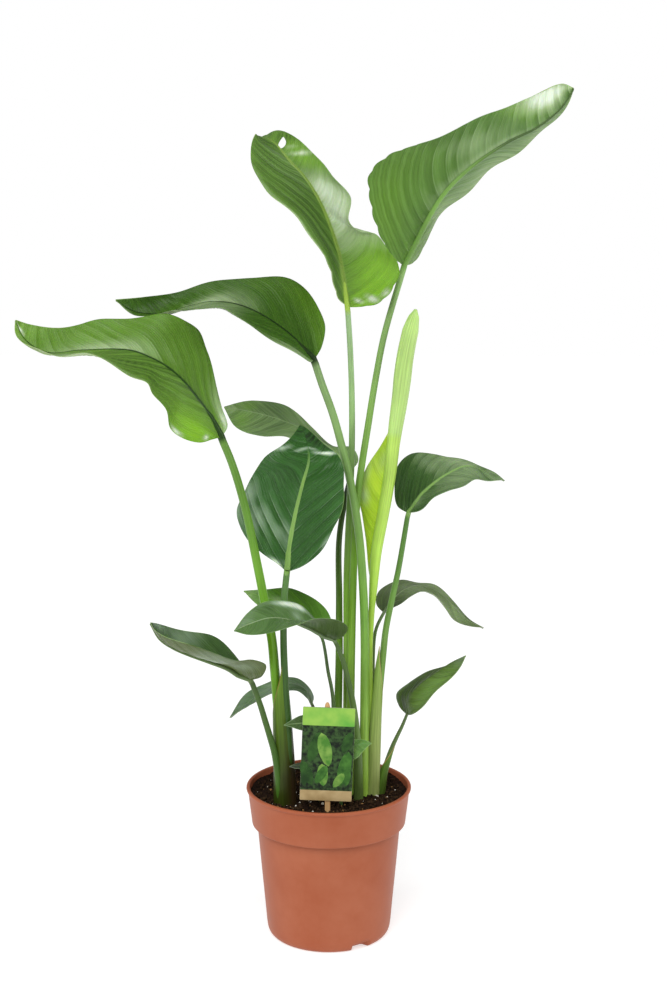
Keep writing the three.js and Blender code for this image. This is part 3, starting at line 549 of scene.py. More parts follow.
def stalk_piece(name, leaf, material, slot):
    """Stalk and midrib in one: channelled above, and under the blade it lies against the underside."""
    surface, normals, facts, _ = blade_surface(leaf, leaf["stalk"][-1])
    middle = surface.shape[1] // 2
    rib, upper, along = (values[2::2, middle] for values in (surface, normals, facts[..., 1]))
    foot, neck = leaf["girth"]
    stalk = line_through(stalk_points(leaf))
    count = int(stalk[1][-1] / STALK_STEP)
    climb = np.linspace(0, 1, count, endpoint=False)
    rib_radius = neck + (RIB_TIP_RADIUS - neck) * along**0.8
    sink = rib_radius * np.interp(along, [0, 0.12], [-0.4, 0.85])
    centre = np.vstack([at(stalk, climb), rib - upper * sink[:, None]])
    radius = np.r_[np.interp(climb, [0, 1], [foot, neck]), rib_radius]
    up = np.vstack([np.full((count, 3), np.nan), upper])
    depth = np.interp(np.arange(len(centre)), [0, count * 0.5, count * 0.9, count, len(centre)],
        [0.05, 0.16, 0.22, 0.08, 0])

    def channelled(angle):
        return radius[:, None] * (1 - depth[:, None] * np.exp(-((angle / 0.5) ** 2))[None])

    points, faces, layers = swept(centre, up, channelled, STALK_SIDES, np.r_[climb, 1 + along])
    return piece(name, points, faces, [material], layers=layers, slot=slot)


def furled_piece(material):
    """The rolled young leaf: a spindle whose outer wrap ends in a seam that winds up it."""
    climb = np.linspace(0, 1, ROLL_STATIONS)
    centre = at(line_through(stalk_points(FURLED)), climb)
    radius = np.interp(climb, *zip(*FURLED["radii"]))
    up = np.full(centre.shape, np.nan)
    up[-1] = (0, -1, 0)
    seam = np.interp(climb, *zip(*FURLED["seam"]))
    step = SEAM_STEP * np.clip((climb - 0.5) / 0.1, 0, 1)

    def wrapped(angle):
        turn = (angle[None] - seam[:, None]) % TURN / TURN
        return radius[:, None] * (1 - step[:, None] / 2 + step[:, None] * turn)

    points, faces, layers = swept(centre, up, wrapped, ROLL_SIDES, climb * 1.3)
    return piece("leaf_furled_roll", points, faces, [material], layers=layers, replaces="leaf_furled",
        slot="leaf_young")


def sheath_piece(name, path, radii, drop, facing, material):
    """A leaf sheath: a thin wrap that clasps the stalks from the soil up and ends in one point, its opposite
    side lower by drop. facing is the point's direction seen from above, 0 being the front."""
    line = line_through(path)
    angle = np.linspace(-math.pi, math.pi, SHEATH_SIDES, endpoint=False)
    away = np.abs((angle - facing + math.pi) % TURN - math.pi) / math.pi
    ends = 1 - drop * away**0.8
    part = np.linspace(0, 1, SHEATH_ROWS)
    reach = part[:, None] * ends[None]
    centre = at(line, reach.ravel()).reshape(SHEATH_ROWS, SHEATH_SIDES, 3)
    radius = np.interp(reach, *zip(*radii))
    out = np.stack([np.sin(angle), -np.cos(angle), np.zeros(SHEATH_SIDES)], -1)
    outer = centre + out * radius[..., None]
    inner = centre + out * (radius - SHEATH_THICKNESS)[..., None]
    points = np.vstack([outer.reshape(-1, 3), inner.reshape(-1, 3)])
    count = SHEATH_ROWS * SHEATH_SIDES
    shell = grid_faces(SHEATH_ROWS, SHEATH_SIDES, wrap=True)
    j = np.arange(SHEATH_SIDES)
    k = (j + 1) % SHEATH_SIDES
    last = count - SHEATH_SIDES
    brim = np.stack([last + j, last + k, last + k + count, last + j + count], -1)
    foot = np.stack([k, j, j + count, k + count], -1)
    length = line[1][-1] * MM
    grain = np.stack(np.broadcast_arrays((angle / TURN)[None], reach * length), -1).reshape(-1, 2)
    hem = ends[None] * (1 - part[:, None]) * length
    rise = np.stack([reach, hem], -1).reshape(-1, 2)
    faces = np.vstack([shell, shell[:, ::-1] + count, brim, foot])
    layers = {"grain": np.vstack([grain, grain]), "rise": np.vstack([rise, rise])}
    return piece(name, points, faces, [material], layers=layers, slot="leaf")


# The colour Mix node's sockets
FACTOR, COLOUR_A, COLOUR_B, COLOUR_OUT = 0, 6, 7, 2


def colour(hex_value):
    """sRGB hex to linear RGBA."""
    parts = [(hex_value >> shift & 255) / 255 for shift in (16, 8, 0)]
    return (*(c / 12.92 if c <= 0.04045 else ((c + 0.055) / 1.055) ** 2.4 for c in parts), 1)


def feed(tree, node, inputs):
    """Gives a node its inputs. Each is a value, a socket to link from, or a node for its main result."""
    for name, value in inputs.items():
        if isinstance(value, bpy.types.Node):
            value = value.outputs[COLOUR_OUT if value.bl_idname == "ShaderNodeMix" else 0]
        if isinstance(value, bpy.types.NodeSocket):
            tree.links.new(value, node.inputs[name])
        else:
            node.inputs[name].default_value = value


def add(tree, kind, inputs=None, **settings):
    """Adds a node with its settings and links."""
    node = tree.nodes.new("ShaderNode" + kind)
    for name, value in settings.items():
        setattr(node, name, value)
    feed(tree, node, inputs or {})
    return node


def new_material(name, **shader_inputs):
    material = bpy.data.materials.new(name)
    material.use_nodes = True
    tree = material.node_tree
    shader = tree.nodes["Principled BSDF"]
    feed(tree, shader, {key.replace("_", " "): value for key, value in shader_inputs.items()})
    return material, tree, shader


# What light does inside living leaf tissue: green goes deepest
TISSUE = dict(IOR=1.45, Subsurface_Scale=0.0012, Subsurface_Radius=(0.5, 1.0, 0.15))
FINE_VEIN_PITCH = 2.6
FURROW_PITCH = 6.2
FAINT_LINES = 0.16
FAINT_RIDGES = 0.04
# The pale painted sheen of the blades and its greyer kind for the darker leaves, young tissue's own fresh
# green, the green of painted shade and the near white of painted highlights
PAINTED_SHEEN = 0xA8BE90
COOL_PAINTED_SHEEN = 0xA0B69C
FRESH = 0x80B42C
SHADE = 0x1A3010
PAINTED_GLOSS = 0xDEEAD6


def leaf_material(name, deep, light, rib, rib_width, margin, roughness, underside=False, ridges=FAINT_RIDGES,
        lines=FAINT_LINES, rib_reach=1.0, painted_sheen_hex=PAINTED_SHEEN):
    """Strelitzia leaf blade: a leathery, waxy cuticle over closely set side veins, 2.6 mm apart, which give
    it fine pale lines and a soft, broken gloss. Every 12.4 mm a raised vein shows pale, partly a painted
    highlight, beside a band of painted shade. Painted sheen and painted white highlights turn patches of it
    pale and painted shade turns others darker, younger tissue is a fresh yellow green, and light passes
    through it a little. Its green varies over about 40 mm, its veins waver over 11 mm, streaks lie 6 mm
    apart and break up finer, and its grain is about 1 mm, a little coarser than life so that it shows."""
    material, tree, shader = new_material(name, Specular_IOR_Level=0.2, Subsurface_Weight=0.2, **TISSUE)
    place = add(tree, "TexCoord").outputs["Object"]
    veins = add(tree, "SeparateXYZ", {0: add(tree, "UVMap", uv_map="veins")})
    span = add(tree, "SeparateXYZ", {0: add(tree, "UVMap", uv_map="span")})
    tint = add(tree, "SeparateXYZ", {0: add(tree, "UVMap", uv_map="tint")})
    patches = add(tree, "TexNoise", {"Vector": place, "Scale": 24.0, "Detail": 4.0, "Roughness": 0.55})
    wobble = add(tree, "TexNoise", {"Vector": place, "Scale": 90.0, "Detail": 2.0})
    shift = add(tree, "Math", {0: wobble, 1: 2.4 * MM, 2: veins.outputs[0]}, operation="MULTIPLY_ADD")

    # Fine veins, streaks along them and patches give the two greens of the blade
    phase = add(tree, "Math", {0: shift, 1: TURN / (FINE_VEIN_PITCH * MM)}, operation="MULTIPLY")
    wave = add(tree, "Math", {0: phase}, operation="SINE")
    vein = add(tree, "MapRange", {"Value": wave, "From Min": -0.2, "From Max": 1.0})
    outward = add(tree, "Math", {0: span.outputs[0], 1: 0.1}, operation="MULTIPLY")
    flow = add(tree, "CombineXYZ", {0: shift, 1: outward})
    streaks = add(tree, "TexNoise", {"Vector": flow, "Scale": 170.0, "Detail": 4.0, "Roughness": 0.65})
    streak = add(tree, "MapRange", {"Value": streaks, "From Min": 0.3, "From Max": 0.7})
    patch = add(tree, "MapRange", {"Value": patches, "From Min": 0.3, "From Max": 0.7})
    tone = add(tree, "Math", {0: streak, 1: 0.55}, operation="MULTIPLY")
    tone = add(tree, "Math", {0: patch, 1: 0.45, 2: tone}, operation="MULTIPLY_ADD")
    tone = add(tree, "Math", {0: vein, 1: lines, 2: tone}, operation="MULTIPLY_ADD", use_clamp=True)
    blade = add(tree, "Mix", {FACTOR: tone, COLOUR_A: colour(deep), COLOUR_B: colour(light)},
        data_type="RGBA")

    # Painted shade beside the raised veins, unevenly, and painted shade in furrows where the patches are
    # negative
    turns = add(tree, "Math", {0: veins.outputs[0], 1: 1 / (VEIN_PITCH * MM)}, operation="MULTIPLY")
    painted_vein_shade = add(tree, "Math", {0: turns}, operation="FRACT")
    painted_vein_shade = add(tree, "MapRange", {"Value": painted_vein_shade, "From Min": 0.35, "From Max": 1.0, "To Max": ridges})
    uneven = add(tree, "MapRange", {"Value": patches, "From Min": 0.38, "From Max": 0.6, "To Min": 0.25,
        "To Max": 1.15})
    painted_vein_shade = add(tree, "Math", {0: painted_vein_shade, 1: uneven}, operation="MULTIPLY")
    furrow = add(tree, "Math", {0: shift, 1: TURN / (FURROW_PITCH * MM)}, operation="MULTIPLY")
    furrow = add(tree, "Math", {0: furrow}, operation="SINE")
    furrow = add(tree, "MapRange", {"Value": furrow, "From Min": -0.7, "From Max": 0.7, "To Min": 0.25})
    dark = add(tree, "MapRange", {"Value": tint.outputs[0], "From Min": 0.0, "From Max": -1.0})
    dark = add(tree, "Math", {0: dark, 1: furrow, 2: painted_vein_shade}, operation="MULTIPLY_ADD", use_clamp=True)
    shaded = add(tree, "Mix", {FACTOR: dark, COLOUR_A: blade, COLOUR_B: colour(SHADE)}, data_type="RGBA")

    # Fresh tissue, then painted sheen and painted white highlights, broken up by the streaks and strongest
    # on the raised veins, whose pale is partly a painted highlight
    broken = add(tree, "MapRange", {"Value": streak, "To Min": 0.7, "To Max": 1.25})
    fresh = add(tree, "Math", {0: tint.outputs[1], 1: broken}, operation="MULTIPLY", use_clamp=True)
    young = add(tree, "Mix", {FACTOR: fresh, COLOUR_A: shaded, COLOUR_B: colour(FRESH)}, data_type="RGBA")
    crest = add(tree, "Math", {0: turns, 1: TURN}, operation="MULTIPLY")
    crest = add(tree, "Math", {0: crest}, operation="COSINE")
    crest = add(tree, "MapRange", {"Value": crest, "From Min": 0.86, "From Max": 1.0, "To Max": ridges})
    crest = add(tree, "Math", {0: crest, 1: patch}, operation="MULTIPLY")
    crest = add(tree, "Math", {0: crest, 1: painted_vein_shade}, operation="SUBTRACT")
    painted_sheen_level = add(tree, "Math", {0: tint.outputs[0], 1: broken, 2: crest}, operation="MULTIPLY_ADD")
    # bloom is how much painted sheen shows, and past 0.9 the painted white highlight takes over
    bloom = add(tree, "MapRange", {"Value": painted_sheen_level})
    with_painted_sheen = add(tree, "Mix", {FACTOR: bloom, COLOUR_A: young, COLOUR_B: colour(painted_sheen_hex)}, data_type="RGBA")
    painted_highlight = add(tree, "MapRange", {"Value": painted_sheen_level, "From Min": 0.9, "From Max": 1.9})
    with_painted_sheen = add(tree, "Mix", {FACTOR: painted_highlight, COLOUR_A: with_painted_sheen, COLOUR_B: colour(PAINTED_GLOSS)}, data_type="RGBA")

    # The midrib, narrower towards the tip, and a thin margin
    taper = add(tree, "MapRange", {"Value": veins.outputs[1], "To Min": rib_width * MM,
        "To Max": 0.25 * rib_width * MM})
    near = add(tree, "Math", {0: span.outputs[0], 1: taper}, operation="DIVIDE")
    near = add(tree, "MapRange", {"Value": near, "From Min": 1.4, "From Max": 0.6})
    faded = add(tree, "MapRange", {"Value": veins.outputs[1], "From Min": rib_reach + 0.1,
        "From Max": rib_reach - 0.1})
    midrib = add(tree, "Math", {0: near, 1: faded}, operation="MULTIPLY")
    ribbed = add(tree, "Mix", {FACTOR: midrib, COLOUR_A: with_painted_sheen, COLOUR_B: colour(rib)}, data_type="RGBA")
    brink = add(tree, "MapRange", {"Value": span.outputs[1], "From Min": 1.0 * MM, "From Max": 0.4 * MM})
    whole = add(tree, "Mix", {FACTOR: brink, COLOUR_A: ribbed, COLOUR_B: colour(margin)}, data_type="RGBA")

    sheen = add(tree, "MapRange", {"Value": patches, "From Min": 0.3, "From Max": 0.7,
        "To Min": roughness - 0.05, "To Max": roughness + 0.09})
    grain = add(tree, "TexNoise", {"Vector": place, "Scale": 900.0, "Detail": 1.0})
    relief = add(tree, "Math", {0: grain, 1: 0.25, 2: vein}, operation="MULTIPLY_ADD")
    relief = add(tree, "Math", {0: streak, 1: 0.8, 2: relief}, operation="MULTIPLY_ADD")
    bump = add(tree, "Bump", {"Height": relief, "Strength": 0.5, "Distance": 0.35 * MM}, invert=underside)
    feed(tree, shader, {"Base Color": whole, "Roughness": sheen, "Normal": bump})
    return material


def stalk_material(name, foot, middle, neck, rib, tip, rib_reach=1.0, fineness=26.0):
    """Leaf stalk: firm green tissue with a waxy bloom and fine lengthwise streaks about 1 mm apart and 70 mm
    long. fineness is how many go round it. Its green changes from the soil to the blade, along the midrib,
    and once more where the midrib fades."""
    material, tree, shader = new_material(name, Roughness=0.33, Specular_IOR_Level=0.3,
        Subsurface_Weight=0.15, **TISSUE)
    place = add(tree, "TexCoord").outputs["Object"]
    grain = add(tree, "UVMap", uv_map="grain")
    rise = add(tree, "SeparateXYZ", {0: add(tree, "UVMap", uv_map="rise")})
    greens = colour(foot)
    stages = ((0, 0.45, middle), (0.5, 0.95, neck), (0.985, 1, rib), (rib_reach + 0.9, rib_reach + 1.1, tip))
    for start, end, green in stages:
        step = add(tree, "MapRange", {"Value": rise.outputs[0], "From Min": start, "From Max": end})
        greens = add(tree, "Mix", {FACTOR: step, COLOUR_A: greens, COLOUR_B: colour(green)},
            data_type="RGBA")
    stretched = add(tree, "Mapping", {"Vector": grain, "Scale": (fineness, 14.0, 1.0)})
    streaks = add(tree, "TexNoise", {"Vector": stretched, "Scale": 1.0, "Detail": 3.0})
    patches = add(tree, "TexNoise", {"Vector": place, "Scale": 14.0, "Detail": 2.0})
    tone = add(tree, "Math", {0: streaks, 1: patches}, operation="ADD")
    tone = add(tree, "MapRange", {"Value": tone, "From Min": 0.8, "From Max": 1.2, "To Min": 0.76,
        "To Max": 1.18})
    whole = add(tree, "VectorMath", {0: greens, "Scale": tone}, operation="SCALE")
    bump = add(tree, "Bump", {"Height": streaks, "Strength": 0.35, "Distance": 0.3 * MM})
    feed(tree, shader, {"Base Color": whole, "Normal": bump})
    return material


def sheath_material(name, foot, light, hem, shade_and_brown):
    """Leaf sheath: tougher and duller than the stalk, streaked lengthwise about 2 mm apart, darker and
    browner low down on its right, partly from real browning and partly painted shade on that side, with a
    dry papery hem 2 to 3 mm deep."""
    material, tree, shader = new_material(name, IOR=1.45, Specular_IOR_Level=0.25, Roughness=0.42)
    grain = add(tree, "UVMap", uv_map="grain")
    rise = add(tree, "SeparateXYZ", {0: add(tree, "UVMap", uv_map="rise")})
    stretched = add(tree, "Mapping", {"Vector": grain, "Scale": (30.0, 16.0, 1.0)})
    streaks = add(tree, "TexNoise", {"Vector": stretched, "Scale": 1.0, "Detail": 3.0})
    up = add(tree, "MapRange", {"Value": rise.outputs[0], "From Min": 0.25, "From Max": 0.95})
    green = add(tree, "Mix", {FACTOR: up, COLOUR_A: colour(foot), COLOUR_B: colour(light)}, data_type="RGBA")
    turn = add(tree, "SeparateXYZ", {0: grain})
    # Painted shade low down on the right side, mixed toward a dark browner colour that is partly real
    # browning
    right = add(tree, "MapRange", {"Value": turn.outputs[0], "From Min": -0.03, "From Max": 0.12})
    low = add(tree, "MapRange", {"Value": rise.outputs[0], "From Min": 0.9, "From Max": 0.2,
        "To Max": shade_and_brown})
    shade_and_browning = add(tree, "Math", {0: right, 1: low}, operation="MULTIPLY")
    with_shade_and_browning = add(tree, "Mix", {FACTOR: shade_and_browning, COLOUR_A: green, COLOUR_B: colour(0x2E1E0C)}, data_type="RGBA")
    tone = add(tree, "MapRange", {"Value": streaks, "From Min": 0.35, "From Max": 0.65, "To Min": 0.78,
        "To Max": 1.16})
    streaked = add(tree, "VectorMath", {0: with_shade_and_browning, "Scale": tone}, operation="SCALE")
    dry = add(tree, "MapRange", {"Value": rise.outputs[1], "From Min": 5 * MM, "From Max": 0.5 * MM})
    whole = add(tree, "Mix", {FACTOR: dry, COLOUR_A: streaked, COLOUR_B: colour(hem)}, data_type="RGBA")
    bump = add(tree, "Bump", {"Height": streaks, "Strength": 0.4, "Distance": 0.4 * MM})
    feed(tree, shader, {"Base Color": whole, "Normal": bump})
    return material


def pot_material():
    """Injection-moulded polypropylene: even terracotta pigment, satin, with a faint matt bloom in patches of
    about 60 mm and fine scuffs of 1.5 mm."""
    material, tree, shader = new_material("moulded_polypropylene_terracotta", IOR=1.49,
        Specular_IOR_Level=0.22)
    place = add(tree, "TexCoord").outputs["Object"]
    bloom = add(tree, "TexNoise", {"Vector": place, "Scale": 16.0, "Detail": 4.0, "Roughness": 0.65})
    tone = add(tree, "MapRange", {"Value": bloom, "From Min": 0.3, "From Max": 0.7})
    whole = add(tree, "Mix", {FACTOR: tone, COLOUR_A: colour(0x9D5132), COLOUR_B: colour(0xA86043)},
        data_type="RGBA")
    sheen = add(tree, "MapRange", {"Value": bloom, "From Min": 0.3, "From Max": 0.7, "To Min": 0.4,
        "To Max": 0.52})
    scuffs = add(tree, "TexNoise", {"Vector": place, "Scale": 700.0, "Detail": 2.0})
    bump = add(tree, "Bump", {"Height": scuffs, "Strength": 0.2, "Distance": 0.2 * MM})
    feed(tree, shader, {"Base Color": whole, "Roughness": sheen, "Normal": bump})
    return material


def crumb_material(name, deep, light, scale, roughness):
    """A grain of the potting mix: dull and pitted. scale is how many pits go to a metre, 2 to 4 mm apart,
    the finest that shows."""
    material, tree, shader = new_material(name, Roughness=roughness, Specular_IOR_Level=0.1)
    place = add(tree, "TexCoord").outputs["Object"]
    pits = add(tree, "TexNoise", {"Vector": place, "Scale": scale, "Detail": 4.0})
    tone = add(tree, "MapRange", {"Value": pits, "From Min": 0.35, "From Max": 0.65})
    whole = add(tree, "Mix", {FACTOR: tone, COLOUR_A: colour(deep), COLOUR_B: colour(light)},
        data_type="RGBA")
    bump = add(tree, "Bump", {"Height": pits, "Strength": 0.8, "Distance": 1 * MM})
    feed(tree, shader, {"Base Color": whole, "Normal": bump})
    return material


def wood_material():
    """Split birch lolly stick: dry fibres along its length, about 0.6 mm apart."""
    material, tree, shader = new_material("split_birch_wood", Roughness=0.65, IOR=1.5)
    place = add(tree, "TexCoord").outputs["Object"]
    fibres = add(tree, "Mapping", {"Vector": place, "Scale": (1600.0, 1600.0, 30.0)})
    grain = add(tree, "TexNoise", {"Vector": fibres, "Scale": 1.0, "Detail": 3.0})
    whole = add(tree, "Mix", {FACTOR: grain, COLOUR_A: colour(0xA9743F), COLOUR_B: colour(0xE0BC85)},
        data_type="RGBA")
    bump = add(tree, "Bump", {"Height": grain, "Strength": 0.4, "Distance": 0.3 * MM})
    feed(tree, shader, {"Base Color": whole, "Normal": bump})
    return material


def print_material(name, deep, light, scale):
    """Offset print on coated card: flat ink with a slight gloss, lightly mottled. scale is how many mottles
    go to a metre: 4 mm apart on the field, 8 mm on the paddle leaves, and 17 to 25 mm elsewhere."""
    material, tree, shader = new_material(name, Roughness=0.32, IOR=1.5, Specular_IOR_Level=0.2)
    place = add(tree, "TexCoord").outputs["Object"]
    mottle = add(tree, "TexNoise", {"Vector": place, "Scale": scale, "Detail": 3.0})
    tone = add(tree, "MapRange", {"Value": mottle, "From Min": 0.35, "From Max": 0.65})
    whole = add(tree, "Mix", {FACTOR: tone, COLOUR_A: colour(deep), COLOUR_B: colour(light)},
        data_type="RGBA")
    feed(tree, shader, {"Base Color": whole})
    return material


POT_SECTORS = 180
NOTCHES = 2
NOTCH_ANGLE = 32
NOTCH_WIDTH = 20
NOTCH_HEIGHT = 8
NOTCH_DEPTH = 9
# The notches leave the floor within this radius alone
FLOOR_RADIUS = 50

# The pot's section, radius and height: floor, foot, wall, collar and lip, then down the inside
POT_SECTION = [
    (0, 0.6), (60, 0.6), (61.5, 0), (64.6, 0), (66, 0.3), (67.4, 0.9), (68.8, 2), (69.9, 3.4), (70.8, 5.4),
    (71.4, 7.5), (71.6, 8.6), (71.8, 10), (72.3, 14), (75.2, 47), (78.6, 84), (81.9, 122), (82.2, 130),
    (82.2, 131.6), (82.7, 132.3), (83.5, 132.5), (87, 132.5), (88, 132.7), (88.6, 133.2), (88.8, 134),
    (89, 136), (90.3, 147), (91.9, 160), (93.1, 171.2), (93.3, 171.9), (94.1, 172.2), (94.7, 172.7),
    (95, 173.6), (94.9, 174.8), (94.5, 175.5), (93.7, 175.9), (92.6, 176), (91.6, 175.8), (91, 175.2),
    (90.9, 174), (88, 152), (86.4, 137.5), (85.8, 136.2), (84.8, 135.6), (81.2, 134.4), (80.2, 133.6),
    (79.8, 132), (74, 60), (68.6, 4), (67, 3), (0, 3),
]

SOIL_RINGS = 60
SOIL_SECTORS = 150
SOIL_RADIUS = 89.6
SOIL_BOTTOM = 3.4
SOIL_ROUGHNESS = 0.45
# Below its top the soil follows the pot's inside, radius and height
SOIL_SIDE = [(85.7, 137), (79.4, 132.5), (69.4, 20), (58, 14), (57, SOIL_BOTTOM)]
# The mix stands this much higher against the pot's wall, from this far out
BANK_HEIGHT = 4
BANK_START = 80
BANK_WIDTH = 8
GRAIN_REACH = 87


def rings(radii, heights, sectors):
    """Points of rings round the Z axis, ring by ring."""
    angle = np.linspace(0, TURN, sectors, endpoint=False)
    ring = np.stack([np.cos(angle), np.sin(angle), np.zeros(sectors)], -1)
    points = np.asarray(radii, float)[:, None, None] * ring
    points[..., 2] = np.asarray(heights)[:, None]
    return points.reshape(-1, 3)


def pot_piece(material):
    """The pot as a closed turned body, with its drain notches pressed in at the foot."""
    radii, heights = np.array(POT_SECTION[1:-1], float).T
    points = rings(radii, heights, POT_SECTORS)
    points = np.vstack([points, [0, 0, POT_SECTION[0][1]], [0, 0, POT_SECTION[-1][1]]])
    angle = np.degrees(np.arctan2(points[:, 1], points[:, 0])) + 90 - NOTCH_ANGLE
    radius = np.hypot(points[:, 0], points[:, 1])
    turn = (angle + 180 / NOTCHES) % (360 / NOTCHES) - 180 / NOTCHES
    across = np.abs(np.radians(turn)) * radius
    inside = np.clip((NOTCH_WIDTH / 2 + 1 - across) / 2, 0, 1)
    inside *= np.clip((NOTCH_HEIGHT + 1 - points[:, 2]) / 2, 0, 1)
    scale = 1 - np.where(radius > FLOOR_RADIUS, inside * NOTCH_DEPTH, 0) / np.maximum(radius, 1)
    points[:, :2] *= scale[:, None]
    faces = tube_faces(len(radii), POT_SECTORS)
    return piece("pot_shell", points, faces, [material], replaces="pot", slot="pot")


def soil_height(x, y):
    """How far the soil stands above its level: banked at the wall, and gently uneven."""
    bank = BANK_HEIGHT * np.clip((np.hypot(x, y) - BANK_START) / BANK_WIDTH, 0, 1)
    return (bank + 1.1 * np.sin(x / 11) * np.cos(y / 9) + 0.8 * np.sin((x - y) / 17)
        + 0.7 * np.sin(x / 3.1 + y / 4.7) * np.cos(y / 3.3 - x / 6.1))


def soil_piece(material, rng):
    radii = np.linspace(0, SOIL_RADIUS, SOIL_RINGS)[1:]
    top = rings(radii, np.zeros(len(radii)), SOIL_SECTORS)
    rough = rng.normal(0, SOIL_ROUGHNESS, (len(radii), SOIL_SECTORS))
    top[:, 2] = SOIL_TOP + soil_height(top[:, 0], top[:, 1]) + rough.ravel()
    walls = rings(*zip(*SOIL_SIDE), SOIL_SECTORS)
    points = np.vstack([top, walls, [0, 0, SOIL_TOP], [0, 0, SOIL_BOTTOM]])
    faces = [f[::-1] for f in tube_faces(len(radii) + len(SOIL_SIDE), SOIL_SECTORS)]
    return piece("soil_bed", points, faces, [material], replaces="soil", slot="soil")


def ball():
    """The points and faces of a small faceted ball."""
    t = (1 + 5**0.5) / 2
    points = [(-1, t, 0), (1, t, 0), (-1, -t, 0), (1, -t, 0), (0, -1, t), (0, 1, t), (0, -1, -t), (0, 1, -t),
        (t, 0, -1), (t, 0, 1), (-t, 0, -1), (-t, 0, 1)]
    faces = [(0, 11, 5), (0, 5, 1), (0, 1, 7), (0, 7, 10), (0, 10, 11), (1, 5, 9), (5, 11, 4), (11, 10, 2),
        (10, 7, 6), (7, 1, 8), (3, 9, 4), (3, 4, 2), (3, 2, 6), (3, 6, 8), (3, 8, 9), (4, 9, 5), (2, 4, 11),
        (6, 2, 10), (8, 6, 7), (9, 8, 1)]
    return unit(np.array(points, float)), np.array(faces)


def grains_piece(name, count, low, high, squeeze, material, rng):
    """Loose grains strewn over the soil, each a ball pressed out of round."""
    shape, shape_faces = ball()
    points, faces = [], []
    while len(points) < count:
        x, y = rng.uniform(-GRAIN_REACH, GRAIN_REACH, 2)
        size = rng.uniform(low, high) / 2
        if math.hypot(x, y) > GRAIN_REACH - size:
            continue
        stretch = rng.uniform(squeeze, 1, 3)
        turn = np.linalg.qr(rng.normal(size=(3, 3)))[0]
        grain = shape * rng.uniform(0.75, 1.15, (len(shape), 1)) * stretch @ turn * size
        centre = [x, y, SOIL_TOP + soil_height(x, y) + size * rng.uniform(0, 0.5)]
        faces.append(shape_faces + len(points) * len(shape))
        points.append(grain + centre)
    return piece(name, np.vstack(points), np.vstack(faces), [material], slot="soil")


CARD_CENTRE = (-1.3, -63, 233.5)
CARD_TILT = -2.3
CARD_HALF = (29, 54)
CARD_THICKNESS = 0.8
CARD_CORNER = 1.2
CORNER_POINTS = 7

# The print ends this far inside the card's edge, and starts this far down in the card
PRINT_INSET = 0.1
PRINT_FOOT = 0.05

# Printed fields: lowest and highest edge, two inks, mottle and how far the print stands proud of the card
CARD_FIELDS = {
    "field": (-42, 53.9, 0x081408, 0x365428, 260.0, 0.1),
    "band": (33, 53.9, 0x60A63E, 0x92BE50, 40.0, 0.2),
    "foot": (-53.9, -42, 0xAA9062, 0xC4AC7E, 60.0, 0.2),
}

# Paddle leaves printed on the card: foot, turn, length, width, and their three pairs of inks
CARD_PADDLES = [
    (-16, -36, 24, 30, 12), (15, -37, -12, 42, 14), (-3, -37, 6, 26, 12), (-20, -10, -18, 38, 13),
    (22, -36, -2, 22, 9), (2, -14, 14, 40, 15), (17, 2, -20, 26, 11), (-12, -34, -30, 24, 10),
    (8, -38, -34, 20, 9), (-24, -37, 4, 22, 8),
]
PADDLE_INKS = [(0x18380F, 0x30581F), (0x245016, 0x44762A), (0x447A28, 0x7AA048)]
PADDLE_STEPS = 10

# The printed leaves start in the field's layer, and each stands a little prouder than the one before
PADDLE_FOOT = 0.08
PADDLE_HEIGHT = 0.22
PADDLE_RISE = 0.02

# The stick, with how far behind the card's middle its front and its back lie
STICK_X = -1.2
STICK_HALF_WIDTH = 3
STICK_FOOT, STICK_SHOULDER, STICK_CROWN = 96, 287, 6
STICK_BEHIND = (0.75, 2.35)


def flat_piece(name, outline, front, back, material, **rest):
    """A flat shape in X and Z between two depths."""
    n = len(outline)
    points = [(x, y, z) for y in (front, back) for x, z in outline[::-1]]
    faces = [list(range(n)), [n + i for i in reversed(range(n))]]
    faces += [[(i + 1) % n, i, n + i, n + (i + 1) % n] for i in range(n)]
    return piece(name, points, faces, [material], smooth=False, **rest)


def arc(x, z, across, rise, angles):
    return [(x + across * math.cos(a), z + rise * math.sin(a)) for a in angles]


def rounded(x0, z0, x1, z1, r):
    corners = [(x1 - r, z1 - r), (x0 + r, z1 - r), (x0 + r, z0 + r), (x1 - r, z0 + r)]
    return [point for i, (x, z) in enumerate(corners)
        for point in arc(x, z, r, r, np.radians(np.linspace(90 * i, 90 * i + 90, CORNER_POINTS)))]


def paddle_shape(length, width):
    """A paddle leaf's outline, from its foot at 0, 0."""
    t = np.linspace(0, 1, PADDLE_STEPS + 1)
    half = width / 2 * np.sqrt(np.sin(math.pi * t**1.1))
    right = list(zip(half, t * length))
    left = [(-a, b) for a, b in right[-2:0:-1]]
    return right + left


def on_card(outline):
    return turned_points(outline, CARD_TILT, CARD_CENTRE[0], CARD_CENTRE[2])


